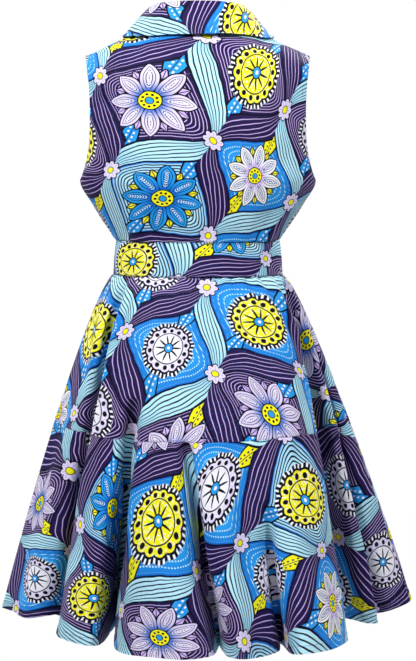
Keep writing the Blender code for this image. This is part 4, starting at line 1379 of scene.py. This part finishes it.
def thread_material(name, colour):
    """Twisted cotton thread."""
    mat = bpy.data.materials.new(name)
    mat.use_nodes = True
    tree = mat.node_tree
    shader = tree.nodes["Principled BSDF"]
    place = tree.nodes.new("ShaderNodeTexCoord")
    wave = tree.nodes.new("ShaderNodeTexWave")
    wave.bands_direction = "DIAGONAL"
    wave.inputs["Scale"].default_value = 900.0
    wave.inputs["Distortion"].default_value = 1.0
    tree.links.new(place.outputs["Object"], wave.inputs["Vector"])
    tint = tree.nodes.new("ShaderNodeMix")
    tint.data_type = "RGBA"
    tint.inputs[6].default_value = (*(c * 0.7 for c in colour), 1.0)
    tint.inputs[7].default_value = (*(c * 1.25 for c in colour), 1.0)
    tree.links.new(wave.outputs[1], tint.inputs["Factor"])
    tree.links.new(tint.outputs[2], shader.inputs["Base Color"])
    bump = tree.nodes.new("ShaderNodeBump")
    bump.inputs["Strength"].default_value = 0.5
    bump.inputs["Distance"].default_value = 0.00008
    tree.links.new(wave.outputs[1], bump.inputs["Height"])
    tree.links.new(bump.outputs[0], shader.inputs["Normal"])
    shader.inputs["Roughness"].default_value = 0.55
    shader.inputs["Sheen Weight"].default_value = 0.15
    return mat

# Where each piece was cut from the printed cloth.
PRINT_AT = {
    "bodice_back": (0.051, 0.204),
    "bodice_front": (0.420, 1.115),
    "collar_stand": (1.300, 0.410),
    "collar_fall": (0.905, 0.730),
    "waistband_back": (0.560, 0.350),
    "waistband_front": (1.710, 0.220),
    "skirt_upper_back": (0.130, 2.140),
    "skirt_upper_front": (1.050, 2.610),
    "skirt_lower_back": (0.240, 3.405),
    "skirt_lower_front": (1.520, 4.060),
}

printed_cotton = wax_print("wax_print_cotton", 0.60)
thread = thread_material("sewing_thread", (0.030, 0.035, 0.150))

for side in ("back", "front"):
    bodice(side)
    waistband(side)
collar()
skirt()

for name, (obj, flat, area, held, rests_on, sewn) in sheets.items():
    min(area, flat[0] * flat[1])
    print(f"{name}: {flat[0]:.3f} x {flat[1]:.3f} m, {area:.4f} m2")

# ---------------------------------------------------------------- floor, light, camera


def floor():
    mesh = bpy.data.meshes.new("floor")
    size, z = 14.0, -1.02
    mesh.from_pydata([(-size, -size, z), (size, -size, z), (size, size, z), (-size, size, z)], [], [(0, 1, 2, 3)])
    mat = bpy.data.materials.new("pale_floor")
    mat.use_nodes = True
    shader = mat.node_tree.nodes["Principled BSDF"]
    shader.inputs["Base Color"].default_value = (0.50, 0.50, 0.50, 1.0)
    shader.inputs["Roughness"].default_value = 0.9
    shader.inputs["Specular IOR Level"].default_value = 0.1
    glow = mat.node_tree.nodes.new("ShaderNodeEmission")
    seen = mat.node_tree.nodes.new("ShaderNodeLightPath")
    either = mat.node_tree.nodes.new("ShaderNodeMixShader")
    mat.node_tree.links.new(seen.outputs["Is Camera Ray"], either.inputs[0])
    mat.node_tree.links.new(shader.outputs[0], either.inputs[1])
    mat.node_tree.links.new(glow.outputs[0], either.inputs[2])
    mat.node_tree.links.new(either.outputs[0], mat.node_tree.nodes["Material Output"].inputs["Surface"])
    mesh.materials.append(mat)
    obj = bpy.data.objects.new("floor", mesh)
    bpy.context.scene.collection.objects.link(obj)


def area_light(name, place, aim, size, power):
    light = bpy.data.lights.new(name, "AREA")
    light.shape = "RECTANGLE"
    light.size, light.size_y = size
    light.energy = power
    obj = bpy.data.objects.new(name, light)
    obj.location = place
    obj.rotation_euler = (Vector(aim) - Vector(place)).to_track_quat("-Z", "Y").to_euler()
    obj.visible_camera = False
    bpy.context.scene.collection.objects.link(obj)


floor()
world = bpy.data.worlds.new("studio")
bpy.context.scene.world = world
world.use_nodes = True
tree = world.node_tree
background = tree.nodes["Background"]
background.inputs["Color"].default_value = (1.0, 1.0, 1.0, 1.0)
background.inputs["Strength"].default_value = 0.08
# Behind the dress the studio's wall is plain white, brighter than it lights.
wall = tree.nodes.new("ShaderNodeBackground")
wall.inputs["Color"].default_value = (1.0, 1.0, 1.0, 1.0)
wall.inputs["Strength"].default_value = 1.0
path = tree.nodes.new("ShaderNodeLightPath")
either = tree.nodes.new("ShaderNodeMixShader")
tree.links.new(path.outputs["Is Camera Ray"], either.inputs[0])
tree.links.new(background.outputs[0], either.inputs[1])
tree.links.new(wall.outputs[0], either.inputs[2])
tree.links.new(either.outputs[0], tree.nodes["World Output"].inputs["Surface"])

area_light("key", (-1.10, -1.35, 1.15), (0.0, 0.0, -0.05), (0.50, 0.50), 51.0)
area_light("fill", (1.35, -1.20, 1.0), (0.0, 0.0, -0.05), (0.50, 0.50), 32.0)
area_light("top", (0.0, 0.3, 2.2), (0.0, 0.0, -0.30), (1.2, 1.2), 8.0)
area_light("front_left", (-1.9, 1.8, 0.9), (0.0, 0.0, -0.30), (0.7, 0.7), 38.0)
area_light("front_right", (1.5, 1.9, 1.25), (0.0, 0.0, -0.30), (0.7, 0.7), 54.0)

PIXEL = 0.00133  # one pixel of the 416 x 661 picture, in the plane y = 0
DISTANCE = 2.6
camera_data = bpy.data.cameras.new("camera")
camera = bpy.data.objects.new("camera", camera_data)
bpy.context.scene.collection.objects.link(camera)
camera.location = (0.0, -DISTANCE, (45 - 160) * PIXEL)
target = Vector(((208 - 198) * PIXEL, 0.0, (45 - 329.6) * PIXEL))
look = target - camera.location
camera.rotation_euler = look.to_track_quat("-Z", "Y").to_euler()
camera_data.sensor_fit = "VERTICAL"
camera_data.sensor_height = 24.0
camera_data.lens = 0.998 * 24.0 * look.length / (661 * PIXEL)
camera_data.clip_end = 60.0
bpy.context.scene.camera = camera
bpy.context.scene.view_settings.view_transform = "Standard"
